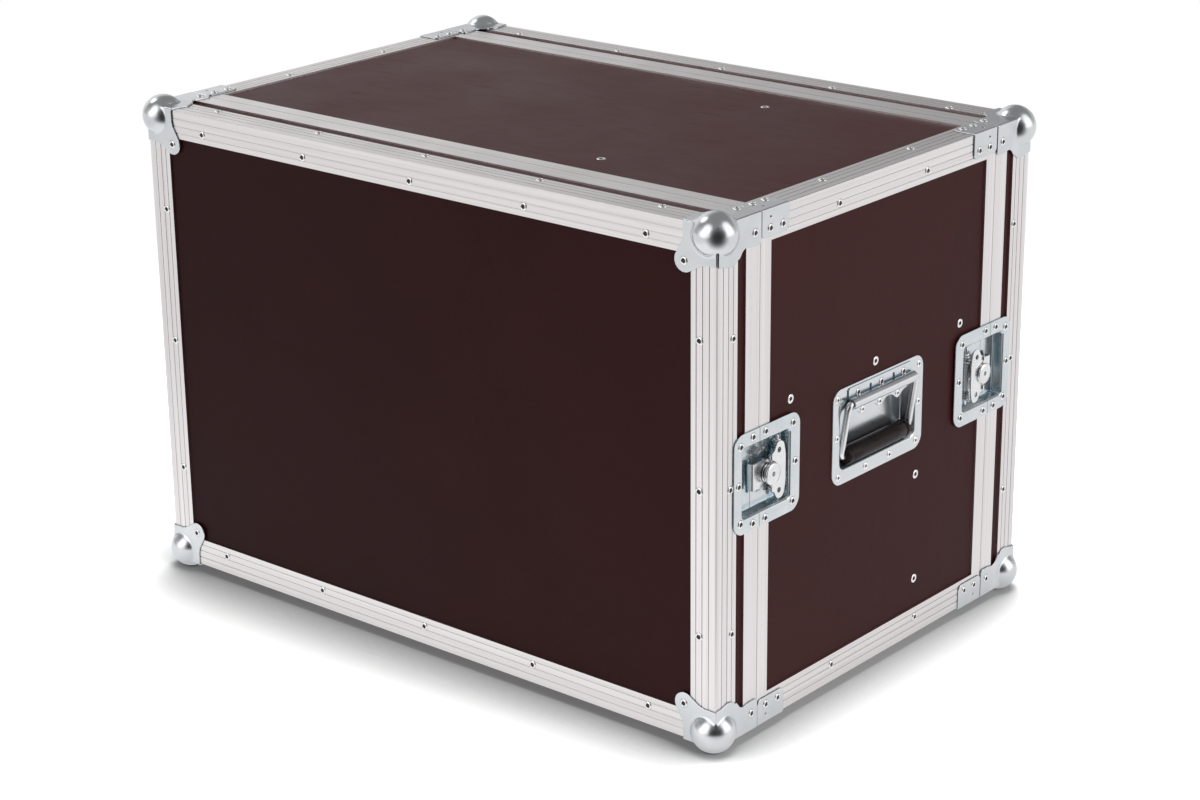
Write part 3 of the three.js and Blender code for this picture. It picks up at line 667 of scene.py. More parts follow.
def corner_field(is_upper):
    face = face_plate_outline()
    side = side_plate_outline()

    def field(p):
        x, y, z = p.T
        out = np.stack([np.maximum(-x, 0), np.maximum(-y, 0), np.maximum(-z, 0)], 1)
        shell = np.linalg.norm(out, axis=1) - CORNER_SHEET
        on_side = outline_distance(side, y, z)
        on_level = outline_distance(side, y, x)
        on_face = outline_distance(face, x, z)
        limit = np.where(x <= HIDDEN_DEPTH, on_side, FAR)
        limit = np.minimum(limit, np.where(z <= HIDDEN_DEPTH, on_level, FAR))
        limit = np.minimum(limit, np.where(y <= HIDDEN_DEPTH, on_face, FAR))
        sheet = soft_max(shell, limit, 0.45)
        ball = np.linalg.norm(p - BALL_INSET, axis=1) - BALL_RADIUS
        solid = soft_min(sheet, ball, 1.3)
        if is_upper:
            slit = np.maximum(np.abs(x - y) - 1.15, 17.2 - z)
            slit = np.maximum(slit, np.maximum(x, y) - 0.75)
            solid = soft_max(solid, -slit, 0.3)
        inside_case = np.minimum(np.minimum(x, y), z) - HIDDEN_DEPTH
        return np.maximum(solid, inside_case)

    return field


def ball_corner(is_upper):
    reach = BALL_RADIUS - BALL_INSET + 1.2
    low = (-reach,) * 3
    high = (37, LID_DEPTH + 1, 37)
    return surface_net(corner_field(is_upper), low, high, 0.52)


def add_ball_corners():
    shapes = {"top": ball_corner(True), "bottom": ball_corner(False)}
    for level, up in LEVELS.items():
        points, faces = shapes[level]
        if level == "bottom":
            points = np.maximum(points, (-np.inf, -np.inf, -FOOT))     # the worn flat it stands on
        for end, along in ENDS.items():
            for side, across in SIDES.items():
                place = (across * X_OUT, along * Y_OUT, Z_MID + up * (Z_HIGH - Z_MID))
                shape = placed((points, faces), place, (-across, -along, -up))
                name = f"pressed_ball_corner_{level}_{end}_{side}"
                add_piece(name, shape, CORNER_ZINC, f"{end}_lid",
                          [f"ball_corner_{level}_{end}_{side}"], angle=60)


# ---- corner braces ----

BRACE_SHEET = 1.0
BRACE_END = 77.5
BRACE_WIDTH = 19.0


def brace_field(p):
    x, y, z = p.T
    start = LID_DEPTH + PARTING_GAP
    shell = np.hypot(np.maximum(-x, 0), np.maximum(-z, 0)) - BRACE_SHEET
    leg = rounded_rectangle(start, BRACE_END, -2 * BRACE_WIDTH, BRACE_WIDTH, 4.5)
    limit = np.where(x <= HIDDEN_DEPTH, outline_distance(leg, y, z), FAR)
    limit = np.minimum(limit, np.where(z <= HIDDEN_DEPTH, outline_distance(leg, y, x), FAR))
    solid = soft_max(shell, limit, 0.6)
    for a, b in ((x, z), (z, x)):
        dimple = np.linalg.norm(np.stack([a + BRACE_SHEET, y - start - 10, b - 5.2], 1), axis=1) - 1.0
        solid = soft_max(solid, -dimple, 0.3)
    return np.maximum(solid, np.minimum(x, z) - HIDDEN_DEPTH)


def add_corner_braces():
    low = (-2, LID_DEPTH - 1, -2)
    high = (BRACE_WIDTH + 1.5, BRACE_END + 1.5, BRACE_WIDTH + 1.5)
    shape = surface_net(brace_field, low, high, 0.6)
    for level, up in LEVELS.items():
        for end, along in ENDS.items():
            for side, across in SIDES.items():
                place = (across * X_OUT, along * Y_OUT, Z_MID + up * (Z_HIGH - Z_MID))
                brace = placed(shape, place, (-across, -along, -up))
                add_piece(f"bent_brace_{level}_{end}_{side}", brace, CORNER_ZINC, "body",
                          [f"corner_brace_{level}_{end}_{side}"], angle=60)


add_ball_corners()
add_corner_braces()


# ---- latches ----
# Drawn for the front right latch: x outward from the aluminium's face, y from the parting line into the
# body, z from the latch's middle.

LATCH_FLANGE = (-28.5, 46.5, -36.5, 36.5)
LATCH_BAY = (-18.9, 35.1, -25.5, 25.5)
LATCH_TOP = 1.2
LATCH_DEPTH = 8.5
LATCH_RIVETS_LID = [(-21.3, -28), (-21.3, 28), (-7.5, -31.5), (-7.5, 31.5), (-23.6, 0)]
LATCH_RIVETS_BODY = [(6.7, -31.8), (6.7, 31.8), (38.3, -29), (38.3, 29), (41.2, 0)]
STUD_Y = 11.2
PIN_Y = 25.5
PIN_X = -3.4
HOOK_TOP = -0.9
WING_LOW = 1.8
WING_HIGH = 3.0


def latch_place(end, side):
    place = (SIDES[side] * X_OUT, ENDS[end] * Y_PART, Z_MID)
    return place, (SIDES[side], -ENDS[end], 1)


def keeper_lip():
    """The folded edge in the lid's half that the claw pulls against."""
    low = -LATCH_DEPTH + LATCH_TOP - 0.5
    outline = rounded_rectangle(-3.6, -2.0, low, low + 1.8, 0.5, 3)
    return lofted([[(x, y * narrower, z) for y, x in outline]
                   for z, narrower in ((-12.0, 0.99), (-11.7, 1.0), (11.7, 1.0), (12.0, 0.99))])


def hook_plate():
    """The claw plate, forked round the stud, with a strap from each prong to the barrel."""
    half, slot, prong_end = 9.5, 3.7, PIN_Y - 4
    fork = arc(STUD_Y, 0, slot, 270, 90, 12)
    rim = ([(-3.6, -half), (prong_end, -half), (prong_end, -slot)] + fork
           + [(prong_end, slot), (prong_end, half), (-3.6, half)])
    plate = flat_plate(rim, HOOK_TOP - 1.2, HOOK_TOP)
    middle = HOOK_TOP - 0.6
    bend = [(middle - 1.4 + 1.4 * math.cos(t), -3.5 - 1.4 * math.sin(t)) for t in QUARTER]
    claw = bent_strip([(middle, -3.3)] + bend + [(HOOK_TOP - 4.6, -4.9)], 1.15, half)
    strap = bent_strip([(middle, PIN_Y - 6.5), (middle, PIN_Y - 3.5), (middle - 0.3, PIN_Y - 1.5)], 0.9, 2.8)
    return merge(plate, claw, placed(strap, (0, 0, -6.6)), placed(strap, (0, 0, 6.6)))


def coil(low, high, radius, wire, turns):
    """A spring wound on the hinge pin."""
    steps = turns * 14
    path = []
    for i in range(steps + 1):
        t = 2 * math.pi * turns * i / steps
        z = low + (high - low) * i / steps
        path.append((PIN_X + radius * math.cos(t), PIN_Y + radius * math.sin(t), z))
    return tube(path, wire, 6)


def hook_pin():
    """The pin with its barrel in the middle and a stout spring on each end."""
    bar = tube([(PIN_X, PIN_Y, z) for z in (-22, -10, 10, 22)], 1.35, 12)
    barrel = tube([(PIN_X, PIN_Y, z) for z in (-10.4, -10.1, 10.1, 10.4)], 2.55, 24)
    springs = [coil(sign * 11.6, sign * 19.4, 2.7, 0.8, 4) for sign in (-1, 1)]
    legs = [tube([(PIN_X, PIN_Y - 2.7, sign * 11.6), (PIN_X + 0.4, PIN_Y - 7, sign * 10.8),
                  (HOOK_TOP - 1.7, PIN_Y - 12, sign * 8.0)], 0.5, 6) for sign in (-1, 1)]
    return merge(bar, barrel, *springs, *legs)


def stud():
    """The turning stud: two grooved rollers under a round head with a small socket."""
    rollers = [(0, -7.0), (3.2, -7.0), (3.2, -0.5), (6.7, -0.5), (7.0, -0.2), (7.0, 0.5), (6.7, 0.8),
               (5.2, 0.9), (5.2, 1.2), (6.5, 1.3), (6.8, 1.6), (6.8, 2.1), (6.5, 2.4), (4.6, 2.5)]
    head = [(4.6, 3.3), (7.5, 3.3), (8.0, 3.6), (8.1, 4.2), (7.95, 4.75), (7.5, 5.1), (2.3, 5.2)]
    socket = [(1.7, 5.05), (1.6, 3.4), (0, 3.4)]
    body = placed(lathe(rollers + head + socket, 40), (0, STUD_Y, 0))
    pin = tube([(2.4, STUD_Y, z) for z in (-12.6, -6, 6, 12.6)], 0.78, 10)
    return merge(body, pin)


def wing():
    """The butterfly wing: lobed ends with a hole each, notched round the stud and rolled onto its pin."""
    y = STUD_Y
    outer = y + 16.2
    lobe_y, lobe_z, lobe = y + 9.3, 15.9, 5.1
    upper = ([(outer, 0), (outer, 9.5), (outer - 0.5, 12.5)] + arc(lobe_y + 0.4, lobe_z, lobe, 15, 140, 10)
             + [(y + 3.4, 15.2), (y + 0.2, 13.2), (y + 0.2, 9.9)] + arc(y, 0, 8.5, 68, 0, 8))
    lower = [(a, -b) for a, b in reversed(upper[1:-1])]
    holes = [arc(y + 8.8, sign * 14.8, 2.0, 0, 360, 16)[:-1] for sign in (-1, 1)]
    plate = flat_plate(upper + lower, WING_LOW, WING_HIGH, holes)
    knuckles = []
    for sign in (-1, 1):
        roll = [(2.4 + 1.5 * math.cos(t), y + 1.5 * math.sin(t)) for t in np.radians(range(70, 391, 20))]
        knuckles.append(placed(bent_strip(roll, 0.7, 1.6), (0, 0, sign * 11.6)))
    return merge(plate, *knuckles)


def painted_opening_shade():
    """A dark plate on the dish's floor beside the barrel, painted shade for the opening there."""
    floor = LATCH_TOP - LATCH_DEPTH
    outline = rounded_rectangle(PIN_Y + 1.6, PIN_Y + 7.0, -10.8, 10.8, 1.2, 4)
    return flat_plate(outline, floor - 0.05, floor + 0.08)


def add_latches():
    pan = pressed_dish(LATCH_FLANGE, LATCH_BAY, LATCH_TOP, 1.0, LATCH_DEPTH, 10, 3.0, 1.6)
    lid_half = merge(cut_at(pan, -PARTING_GAP, False), keeper_lip())
    body_half = cut_at(pan, PARTING_GAP, True)
    parts = {"hook": merge(hook_plate(), hook_pin()), "key": stud(), "wing": wing()}
    for end in ENDS:
        for side in SIDES:
            place, signs = latch_place(end, side)
            spot = f"{end}_{side}"
            add_piece(f"pressed_keeper_{spot}", placed(lid_half, place, signs), DISH_ZINC, f"{end}_lid",
                      [f"latch_keeper_{spot}"], angle=40)
            add_piece(f"pressed_latch_dish_{spot}", placed(body_half, place, signs), DISH_ZINC, "body",
                      [f"latch_dish_{spot}"], angle=40)
            # A dark plate of painted shade on the dish's floor, beside the barrel.
            opening = placed(painted_opening_shade(), place, signs)
            add_piece(f"painted_opening_shade_{spot}", opening, DARK, "body")
            for part, shape in parts.items():
                bevel = 0.25 if part == "wing" else 0.0
                add_piece(f"finished_{part}_{spot}", placed(shape, place, signs), BRIGHT, f"{part}_{spot}",
                          [f"latch_{part}_{spot}"], bevel=bevel, angle=40)


add_latches()


# ---- handles ----
# Drawn for the right side: x outward from the aluminium's face, y along the case, z from the dish's middle.

DISH_FLANGE = (-56.5, 56.5, -36.25, 36.25)
DISH_BAY = (-46.5, 46.5, -25.0, 19.5)
DISH_TOP = -0.3
DISH_DEPTH = 11.7
HANDLE_AXIS = (2.9, 23.5)
GRIP_AXIS = (-3.5, -17.5)
ARM_Y = 42.5
BARREL_HALF = 39.3
HINGE_SHEET = 1.0
HINGE_LOBES = (-20, 1.5, 24)      # where the hinge plate's wavy lip reaches down to a rivet


def hinge_plate():
    """The plate riveted over the dish's top edge, rolled into a barrel and ending in a wavy lip."""
    half = BARREL_HALF
    top_edge = [(half - 1.5, 34.6), (-half + 1.5, 34.6)]
    outline = [(half, 24.0), (half, 33.1)] + top_edge + [(-half, 33.1), (-half, 24.0)]
    slots = [rounded_rectangle(y - 1.3, y + 1.3, 26.0, 32.0, 0.9, 3) for y in (-12.5, 16.5)]
    face = flat_plate(outline, DISH_TOP, DISH_TOP + HINGE_SHEET, slots)
    roll = [(HANDLE_AXIS[0] + 3.55 * math.cos(t), HANDLE_AXIS[1] + 3.55 * math.sin(t))
            for t in np.radians(range(200, -151, -14))]
    ring = thick(roll, 1.1)
    barrel = lofted([[(x, y, z) for x, z in ring] for y in (-half, half)])
    wave = []
    for i in range(61):
        y = (half - 1) * (i / 30 - 1)
        lobe = max(math.exp(-((y - c) / 5.5) ** 2) for c in HINGE_LOBES)
        wave.append((y, 15.5 - 5.0 * lobe))
    lip = flat_plate(wave + [(half - 1, 20.6), (-half + 1, 20.6)], DISH_TOP - 1.3, DISH_TOP - 0.2)
    return merge(face, barrel, lip)


def bail_rod():
    """The bent rod: two arms from the barrel's ends down to the grip."""
    turn = 4.5
    length = HANDLE_AXIS[1] - GRIP_AXIS[1]

    def at(y, along):
        t = along / length
        return (HANDLE_AXIS[0] + t * (GRIP_AXIS[0] - HANDLE_AXIS[0]), y, HANDLE_AXIS[1] - along)

    half = [at(y, 0) for y in (26, 33)]
    half += [at(ARM_Y - turn + turn * math.sin(t), turn - turn * math.cos(t)) for t in QUARTER]
    half += [at(ARM_Y, length * 0.5)]
    half += [at(ARM_Y - turn + turn * math.cos(t), length - turn + turn * math.sin(t)) for t in QUARTER]
    other = [(x, -y, z) for x, y, z in reversed(half)]
    return tube(half + other, 2.6, 14)


def grip():
    """The moulded grip: a barrel-shaped sleeve with end collars."""
    profile = [(0, -38.6), (5.0, -38.6), (6.0, -38.2), (6.6, -37.2), (6.75, -36.0), (6.7, -34.2),
               (6.3, -33.8), (6.3, -33.2), (6.62, -32.6), (6.7, -20), (6.75, 0)]
    full = profile + [(r, -h) for r, h in reversed(profile[:-1])]
    points, faces = lathe(full, 36)
    turned = np.stack([points[:, 1] + GRIP_AXIS[0], points[:, 0], points[:, 2] + GRIP_AXIS[1]], 1)
    return outward((turned, flipped(faces)))


def add_handles():
    pan = pressed_dish(DISH_FLANGE, DISH_BAY, DISH_TOP, 1.2, DISH_DEPTH, 10, 5, 2.2)
    dish, rod, sleeve = merge(pan, hinge_plate()), bail_rod(), grip()
    for side, across in SIDES.items():
        where = (across * X_OUT, 0, Z_MID), (across, 1, 1)
        add_piece(f"pressed_handle_dish_{side}", placed(dish, *where), HANDLE_ZINC, "body",
                  [f"handle_dish_{side}"], angle=40)
        add_piece(f"handle_rod_{side}", placed(rod, *where), BRIGHT, f"handle_{side}",
                  [f"handle_bail_{side}"])
        add_piece(f"handle_grip_{side}", placed(sleeve, *where), GRIP, f"handle_{side}")


add_handles()


# ---- rivets and screws ----

RIVET_PITCH = 108            # along the width, and between a body edge's two rivets
COLUMN_PITCH = 107           # up the edges of a lid
# How far in from the aluminium's outer edges the rivets of the lids and of the body's long edges sit.
LID_FACE_ROW, LID_FACE_COLUMN = 14.8, 14.7
LID_TOP_ROW, LID_SIDE_COLUMN, LID_SIDE_MIDDLE = 18, 17.5, 15.0
EDGE_SIDE_ROW, EDGE_TOP_ROW = 14, 15
# The three rivets of a ball corner, and the two pairs of a brace.
CORNER_FACE = 27
CORNER_SIDE = (39.2, 12.5)
CORNER_TOP = (40.5, 15)
BRACE_DEPTHS = (56.4, 70.3)
BRACE_SIDE_ROW, BRACE_TOP_ROW = 13, 14
HINGE_RIVETS = [(-28, 29.2), (1, 29.2), (29, 29.2)]
HINGE_LIP_Z = 13.8
FLANGE_RIVETS = [(-49, -30), (49, -30), (-51, 29), (51, 29), (-51.3, 0), (51.3, 0), (-15, -31), (15, -31)]
SIDE_SCREWS = [(85, 233), (187.5, 233), (297, 233), (243, 129.5), (245, 45)]      # (depth, height)
TOP_SCREW_X = 101
TOP_SCREW_DEPTHS = (92, 286)

# Each fastener is a turned outline of (radius, height) and a number of sides.
# A hollow rivet is a domed ring round an open bore, and each bore or socket has a dark floor of painted
# shade.
HOLLOW_RIVET = [(0, -0.5), (1.6, -0.5), (1.62, 0.3), (1.74, 0.6), (2.0, 0.76), (2.4, 0.7), (2.85, 0.45),
                (3.2, 0.08), (3.2, -0.15), (1.9, -0.2), (1.9, -0.8), (0, -0.8)], 24
BORE_FLOOR = [(0, 0.0), (0.9, 0.03), (1.59, 0.16), (1.59, -0.3), (0, -0.4)], 16
FLUSH_RIVET = [(0, -0.5), (0.95, -0.5), (1.0, 0.2), (1.15, 0.42), (1.6, 0.5), (2.3, 0.42), (2.85, 0.2),
               (3.0, 0.0), (3.0, -0.15), (1.5, -0.2), (1.5, -0.8), (0, -0.8)], 24
FLUSH_BORE_FLOOR = [(0, 0.02), (0.94, 0.08), (0.94, -0.3), (0, -0.4)], 12
SCREW = [(0, -0.9), (1.5, -0.9), (1.6, 0.1), (2.3, 0.38), (3.0, 0.3), (3.4, 0.02), (3.4, -0.3),
         (2.0, -1.2), (0, -1.2)], 18
SOCKET_FLOOR = [(0, -0.3), (1.55, -0.3), (1.55, -0.8), (0, -0.8)], 6


def on_end(along, x, z, lift=0.0):
    """A spot on a lid's large face, as (origin, normal)."""
    return (x, along * (Y_OUT + lift), z), (0, along, 0)


def on_side(across, y, z, lift=0.0):
    """A spot on the left or right, as (origin, normal)."""
    return (across * (X_OUT + lift), y, z), (across, 0, 0)


def on_level(up, x, y, lift=0.0):
    """A spot on the top or bottom, as (origin, normal)."""
    return (x, y, edge_height(up, -lift)), (0, 0, up)


def edge_height(up, inset):
    """The height of a row that is inset from the top or bottom edge."""
    return Z_MID + up * (Z_HIGH - Z_MID) - up * inset


def lid_rivets(end, along):
    """The rivets of a lid's edge angles, of its ball corners and of its latch keepers."""
    spots = []
    for up in LEVELS.values():
        for x in (step * RIVET_PITCH for step in range(-2, 3)):
            spots.append(on_end(along, x, edge_height(up, LID_FACE_ROW)))
            spots.append(on_level(up, x, along * (Y_OUT - LID_TOP_ROW)))
    for side, across in SIDES.items():
        for step in (-1, 0, 1):
            z = Z_MID + step * COLUMN_PITCH
            spots.append(on_end(along, across * (X_OUT - LID_FACE_COLUMN), z))
            inset = LID_SIDE_MIDDLE if step == 0 else LID_SIDE_COLUMN
            spots.append(on_side(across, along * (Y_OUT - inset), z))
        spots += latch_rivets(end, side, across, LATCH_RIVETS_LID)
        for up in LEVELS.values():
            x, z = across * (X_OUT - CORNER_FACE), edge_height(up, CORNER_FACE)
            spots.append(on_end(along, x, z, CORNER_SHEET))
            y, z = along * (Y_OUT - CORNER_SIDE[0]), edge_height(up, CORNER_SIDE[1])
            spots.append(on_side(across, y, z, CORNER_SHEET))
            x, y = across * (X_OUT - CORNER_TOP[1]), along * (Y_OUT - CORNER_TOP[0])
            spots.append(on_level(up, x, y, CORNER_SHEET))
    return spots


def latch_rivets(end, side, across, rivets):
    place, signs = latch_place(end, side)
    return [on_side(across, place[1] + signs[1] * y, place[2] + z, LATCH_TOP) for y, z in rivets]


def body_rivets():
    """The rivets of the latch dishes, the braces, the long edges and the hinge plates."""
    spots = []
    for side, across in SIDES.items():
        for end, along in ENDS.items():
            spots += latch_rivets(end, side, across, LATCH_RIVETS_BODY)
            for y in (along * (Y_OUT - depth) for depth in BRACE_DEPTHS):
                for up in LEVELS.values():
                    spots.append(on_side(across, y, edge_height(up, BRACE_SIDE_ROW), BRACE_SHEET))
                    spots.append(on_level(up, across * (X_OUT - BRACE_TOP_ROW), y, BRACE_SHEET))
        for up in LEVELS.values():
            for y in (-RIVET_PITCH / 2, RIVET_PITCH / 2):
                spots.append(on_side(across, y, edge_height(up, EDGE_SIDE_ROW)))
                spots.append(on_level(up, across * (X_OUT - EDGE_TOP_ROW), y))
        spots += [on_side(across, y, Z_MID + z, DISH_TOP + HINGE_SHEET) for y, z in HINGE_RIVETS]
    return spots


def flush_rivets():
    """The handles' flush rivets: round the flange, and along the hinge's wavy lip."""
    spots = []
    for across in SIDES.values():
        spots += [on_side(across, y, Z_MID + z, DISH_TOP) for y, z in FLANGE_RIVETS]
        spots += [on_side(across, y, Z_MID + HINGE_LIP_Z, DISH_TOP - 0.2) for y in HINGE_LOBES]
    return spots


def panel_screws():
    """Screws through the side and top panels."""
    spots = [on_side(across, depth - Y_OUT, Z_LOW + height, -SKIN)
             for across in SIDES.values() for depth, height in SIDE_SCREWS]
    return spots + [on_level(1, TOP_SCREW_X, depth - Y_OUT, -SKIN) for depth in TOP_SCREW_DEPTHS]


def add_fasteners(name, floor_name, head, floor, body, spots):
    """The fasteners of one kind on a body, and the dark floors of painted shade in their bores."""
    for piece, outline, material in ((name, head, RIVET), (floor_name, floor, DARK)):
        shape = merge(*[stamped(lathe(*outline), origin, normal) for origin, normal in spots])
        add_piece(piece, shape, material, body, angle=50)


add_fasteners("rivets_body", "rivet_bores_body", HOLLOW_RIVET, BORE_FLOOR, "body", body_rivets())
for end, along in ENDS.items():
    add_fasteners(f"rivets_{end}_lid", f"rivet_bores_{end}_lid", HOLLOW_RIVET, BORE_FLOOR, f"{end}_lid",
                  lid_rivets(end, along))
add_fasteners("panel_screws", "screw_sockets", SCREW, SOCKET_FLOOR, "body", panel_screws())
add_fasteners("handle_rivets", "handle_rivet_bores", FLUSH_RIVET, FLUSH_BORE_FLOOR, "body", flush_rivets())


# ---- floor, light and camera ----

LENS = 83.51
CAMERA_AZIMUTH = 40.12
CAMERA_ELEVATION = 19.69
CAMERA_ROLL = -0.637
CAMERA_DISTANCE = 5.7863     # in case heights, from the middle of the case
CAMERA_SHIFT = (-0.0296, 0.1154)
FLOOR_HALF = 14.0            # metres
FLOOR_SEEN = 1.5
FLOOR_LIT = 0.6
FLOOR_WHITE = (0.6, 1.1)      # how far from the case the floor turns into the white backdrop
FLOOR_FAR = 0.035
FLOOR_FADE = (10, 64)         # the inner and outer angle of the dark side on the floor
# How bright the floor glows in reflections, a painted reflection, from the left through the middle to the
# right.
FLOOR_MIRROR_LEFT = 0.84
FLOOR_MIRROR_MIDDLE = 1.04
FLOOR_MIRROR_RIGHT = 0.88
# A painted contact shadow on the floor near the case: how far it reaches, and how dark it gets seen directly
# and in reflections.
SHADOW_REACH = 0.075
SHADOW_DEPTH = 0.25
MIRROR_SHADOW_DEPTH = 0.62
DARK_SIDE = 50               # the compass angle of the studio's dark side
AMBIENT = 0.42
ROOM_MIRROR = 0.27
ROOM_DARK = 0.035
# Soft boxes as (azimuth, elevation, inner angle, outer angle, strength).
SOFT_BOXES = [(-14, 12, 12, 32, 1.0), (-10, 38, 10, 26, 1.2), (-34, 0, 8, 26, 0.5), (114, 36, 12, 28, 1.1),
              (118, 4, 12, 34, 1.2), (-87, 45, 6, 14, 2.4), (-112, 14, 10, 40, 0.62), (-50, 0, 12, 40, 0.2),
              (178, -8, 16, 42, 0.35)]


def compass(azimuth, elevation):
    """The direction that a compass angle (0 is the front, 90 the right) and a height angle point to."""
    a, e = math.radians(azimuth), math.radians(elevation)
    return Vector((math.sin(a) * math.cos(e), -math.cos(a) * math.cos(e), math.sin(e)))


def add_camera():
    height = (Z_HIGH - Z_LOW) * MM
    a, r = math.radians(CAMERA_AZIMUTH), math.radians(CAMERA_ROLL)
    back = compass(CAMERA_AZIMUTH, CAMERA_ELEVATION)
    level = Vector((math.cos(a), math.sin(a), 0))
    upright = back.cross(level)
    right = math.cos(r) * level + math.sin(r) * upright
    up = -math.sin(r) * level + math.cos(r) * upright
    spot = (back * CAMERA_DISTANCE - CAMERA_SHIFT[0] * right - CAMERA_SHIFT[1] * up) * height
    data = bpy.data.cameras.new("camera")
    data.lens = LENS
    data.sensor_width = 36
    camera = bpy.data.objects.new("camera", data)
    bpy.context.scene.collection.objects.link(camera)
    turn = Matrix((right, up, back)).transposed().to_4x4()
    camera.matrix_world = Matrix.Translation(Vector((0, 0, Z_MID * MM)) + spot) @ turn
    bpy.context.scene.camera = camera


class Surround(Shader):
    """Node calls for light that depends on direction."""

    def __init__(self, tree):
        self.tree = tree
        self.place = tree.nodes.new("ShaderNodeTexCoord").outputs["Generated"]
        self.rays = tree.nodes.new("ShaderNodeLightPath").outputs

    def blend(self, factor, first, second):
        made = self.node("ShaderNodeMixShader")
        for socket, source in zip(made.inputs, (factor, first, second)):
            self.link(source, socket)
        return made.outputs[0]

    def lobe(self, azimuth, elevation, inner, outer):
        """1 within the inner angle of a direction, 0 beyond the outer angle."""
        dot = self.node("ShaderNodeVectorMath", operation="DOT_PRODUCT")
        self.link(self.place, dot.inputs[0])
        dot.inputs[1].default_value = compass(azimuth, elevation)
        edges = (math.cos(math.radians(outer)), math.cos(math.radians(inner)))
        made = self.node("ShaderNodeMapRange", interpolation_type="SMOOTHSTEP")
        for socket, value in zip(made.inputs, (dot.outputs["Value"], *edges, 0.0, 1.0)):
            self.put(value, socket)
        return made.outputs[0]


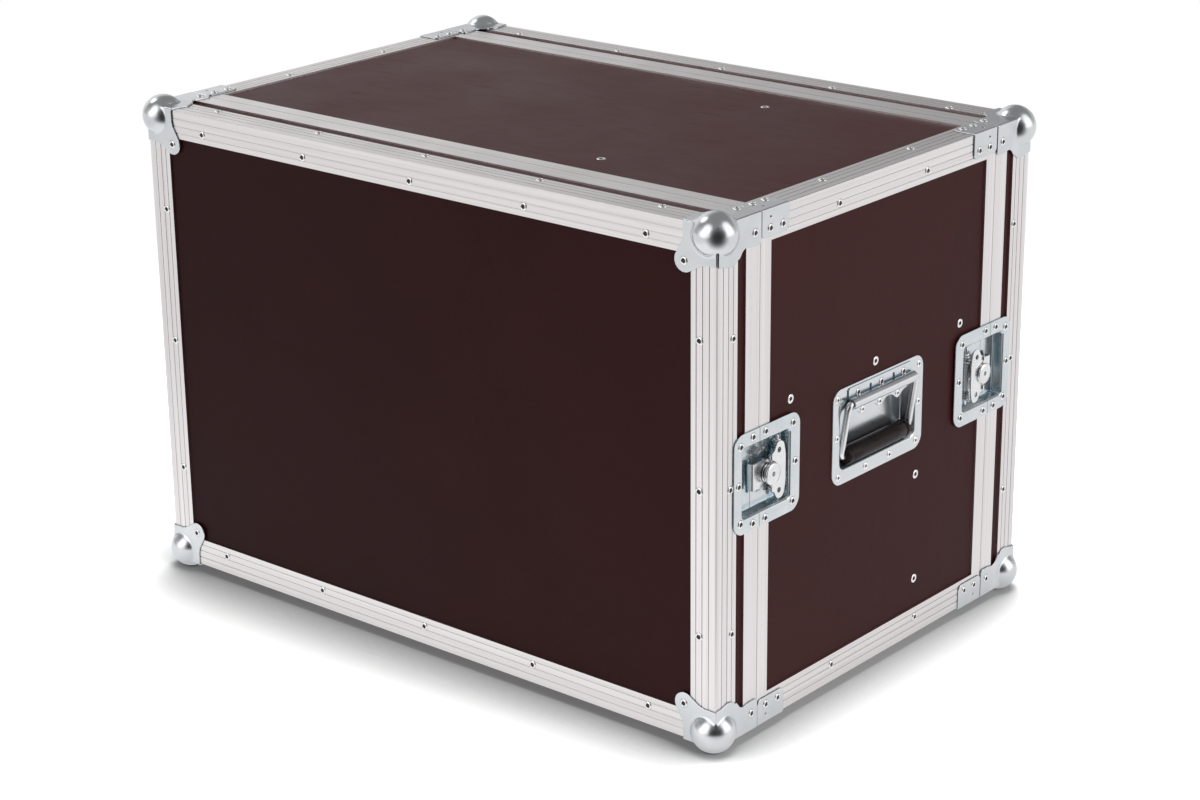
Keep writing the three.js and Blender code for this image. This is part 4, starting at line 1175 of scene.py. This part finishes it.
def add_floor():
    """A white floor with a painted contact shadow near the case. Metal mirrors a grey one that is dark on the
    studio's dark side: a floor that glows only in reflections, a painted reflection with a painted shadow
    near the case.
    """
    material = bpy.data.materials.new("floor_paper")
    material.use_nodes = True
    tree = material.node_tree
    s = Surround(tree)
    parts = s.node("ShaderNodeSeparateXYZ")
    s.link(tree.nodes.new("ShaderNodeTexCoord").outputs["Object"], parts.inputs[0])

    def along(direction):
        x, y = (s.math("MULTIPLY", parts.outputs[i], direction[i]) for i in (0, 1))
        return s.math("ADD", x, y)

    across, away = along(compass(DARK_SIDE + 90, 0)), along(compass(DARK_SIDE, 0))
    back = s.node("ShaderNodeVectorMath", operation="SCALE")
    s.link(s.node("ShaderNodeNewGeometry").outputs["Incoming"], back.inputs[0])
    back.inputs["Scale"].default_value = -1.0
    s.place = back.outputs[0]
    # Painted contact shadow: the floor seen by the camera darkens where the case stands within reach.
    hidden = s.node("ShaderNodeAmbientOcclusion", samples=16)
    hidden.inputs["Distance"].default_value = SHADOW_REACH
    shade = s.ramp(hidden.outputs["AO"], SHADOW_DEPTH, 1.0, 0.46, 0.98)
    left = s.ramp(across, FLOOR_MIRROR_LEFT, FLOOR_MIRROR_MIDDLE, -0.9, -0.45)
    tilt = s.ramp(across, 1.0, FLOOR_MIRROR_RIGHT / FLOOR_MIRROR_MIDDLE, -0.1, 0.5)
    dark_lobe = s.lobe(DARK_SIDE - 2, -4, *FLOOR_FADE)
    turned_away = s.math("MULTIPLY", dark_lobe, s.ramp(away, 0.0, 1.0, 0.36, 0.60))
    dark = s.mix_value(turned_away, 1.0, FLOOR_FAR)
    # Painted shadow in the floor's reflection, milder than the one seen directly.
    mirror_shade = s.ramp(hidden.outputs["AO"], MIRROR_SHADOW_DEPTH, 1.0, 0.4, 0.95)
    grey = s.math("MULTIPLY", s.math("MULTIPLY", dark, mirror_shade), s.math("MULTIPLY", left, tilt))
    paper = s.node("ShaderNodeBsdfDiffuse")
    seen = s.math("MULTIPLY", shade, FLOOR_SEEN)
    s.link(s.mix_colour(s.rays["Is Camera Ray"], (FLOOR_LIT,) * 3 + (1,), seen), paper.inputs["Color"])
    spot = s.node("ShaderNodeVectorMath", operation="LENGTH")
    s.link(tree.nodes.new("ShaderNodeNewGeometry").outputs["Position"], spot.inputs[0])
    far = s.math("MULTIPLY", s.rays["Is Camera Ray"], s.ramp(spot.outputs["Value"], 0.0, 1.0, *FLOOR_WHITE))
    white = s.node("ShaderNodeEmission")
    # The floor glows for glossy rays only: a painted reflection of a grey floor.
    mirror = s.node("ShaderNodeEmission")
    s.link(grey, mirror.inputs["Strength"])
    seen_floor = s.blend(far, paper.outputs[0], white.outputs[0])
    floor_shader = s.blend(s.rays["Is Glossy Ray"], seen_floor, mirror.outputs[0])
    s.link(floor_shader, tree.nodes["Material Output"].inputs["Surface"])
    mesh = bpy.data.meshes.new("floor")
    corners = [(x * FLOOR_HALF, y * FLOOR_HALF, 0) for x, y in ((-1, -1), (1, -1), (1, 1), (-1, 1))]
    mesh.from_pydata(corners, [], [(0, 1, 2, 3)])
    mesh.materials.append(material)
    floor = bpy.data.objects.new("floor", mesh)
    bpy.context.scene.collection.objects.link(floor)


def add_area_light(name, direction, distance, size, power):
    """A soft lamp that metal doesn't mirror: the world's soft boxes are what shows in it."""
    data = bpy.data.lights.new(name, "AREA")
    data.shape = "DISK"
    data.size = size
    data.energy = power
    light = bpy.data.objects.new(name, data)
    light.location = direction * distance
    light.rotation_euler = direction.to_track_quat("Z", "Y").to_euler()
    light.visible_glossy = False
    bpy.context.scene.collection.objects.link(light)


def add_world():
    """White to the camera, even to matt surfaces, and a studio of soft boxes with a dark side to metal."""
    world = bpy.data.worlds.new("studio")
    bpy.context.scene.world = world
    world.use_nodes = True
    s = Surround(world.node_tree)
    camera_side = s.lobe(DARK_SIDE, 2, 12, 52)
    room = s.mix_value(camera_side, ROOM_MIRROR, ROOM_DARK)
    for azimuth, elevation, inner, outer, strength in SOFT_BOXES:
        room = s.math("ADD", room, s.math("MULTIPLY", s.lobe(azimuth, elevation, inner, outer), strength))
    strength = s.mix_value(s.rays["Is Glossy Ray"], AMBIENT, room)
    strength = s.mix_value(s.rays["Is Camera Ray"], strength, 1.0)
    background = world.node_tree.nodes["Background"]
    s.link(strength, background.inputs["Strength"])
    background.inputs["Color"].default_value = (1.0, 1.0, 1.0, 1)


add_camera()
add_world()
add_floor()
add_area_light("top", compass(-160, 80), 2.6, 1.7, 60)
add_area_light("side", compass(84, 26), 2.2, 1.0, 26)
add_area_light("fill", compass(38, 7), 1.12, 0.3, 2.2)
bpy.context.scene.view_settings.view_transform = "Standard"
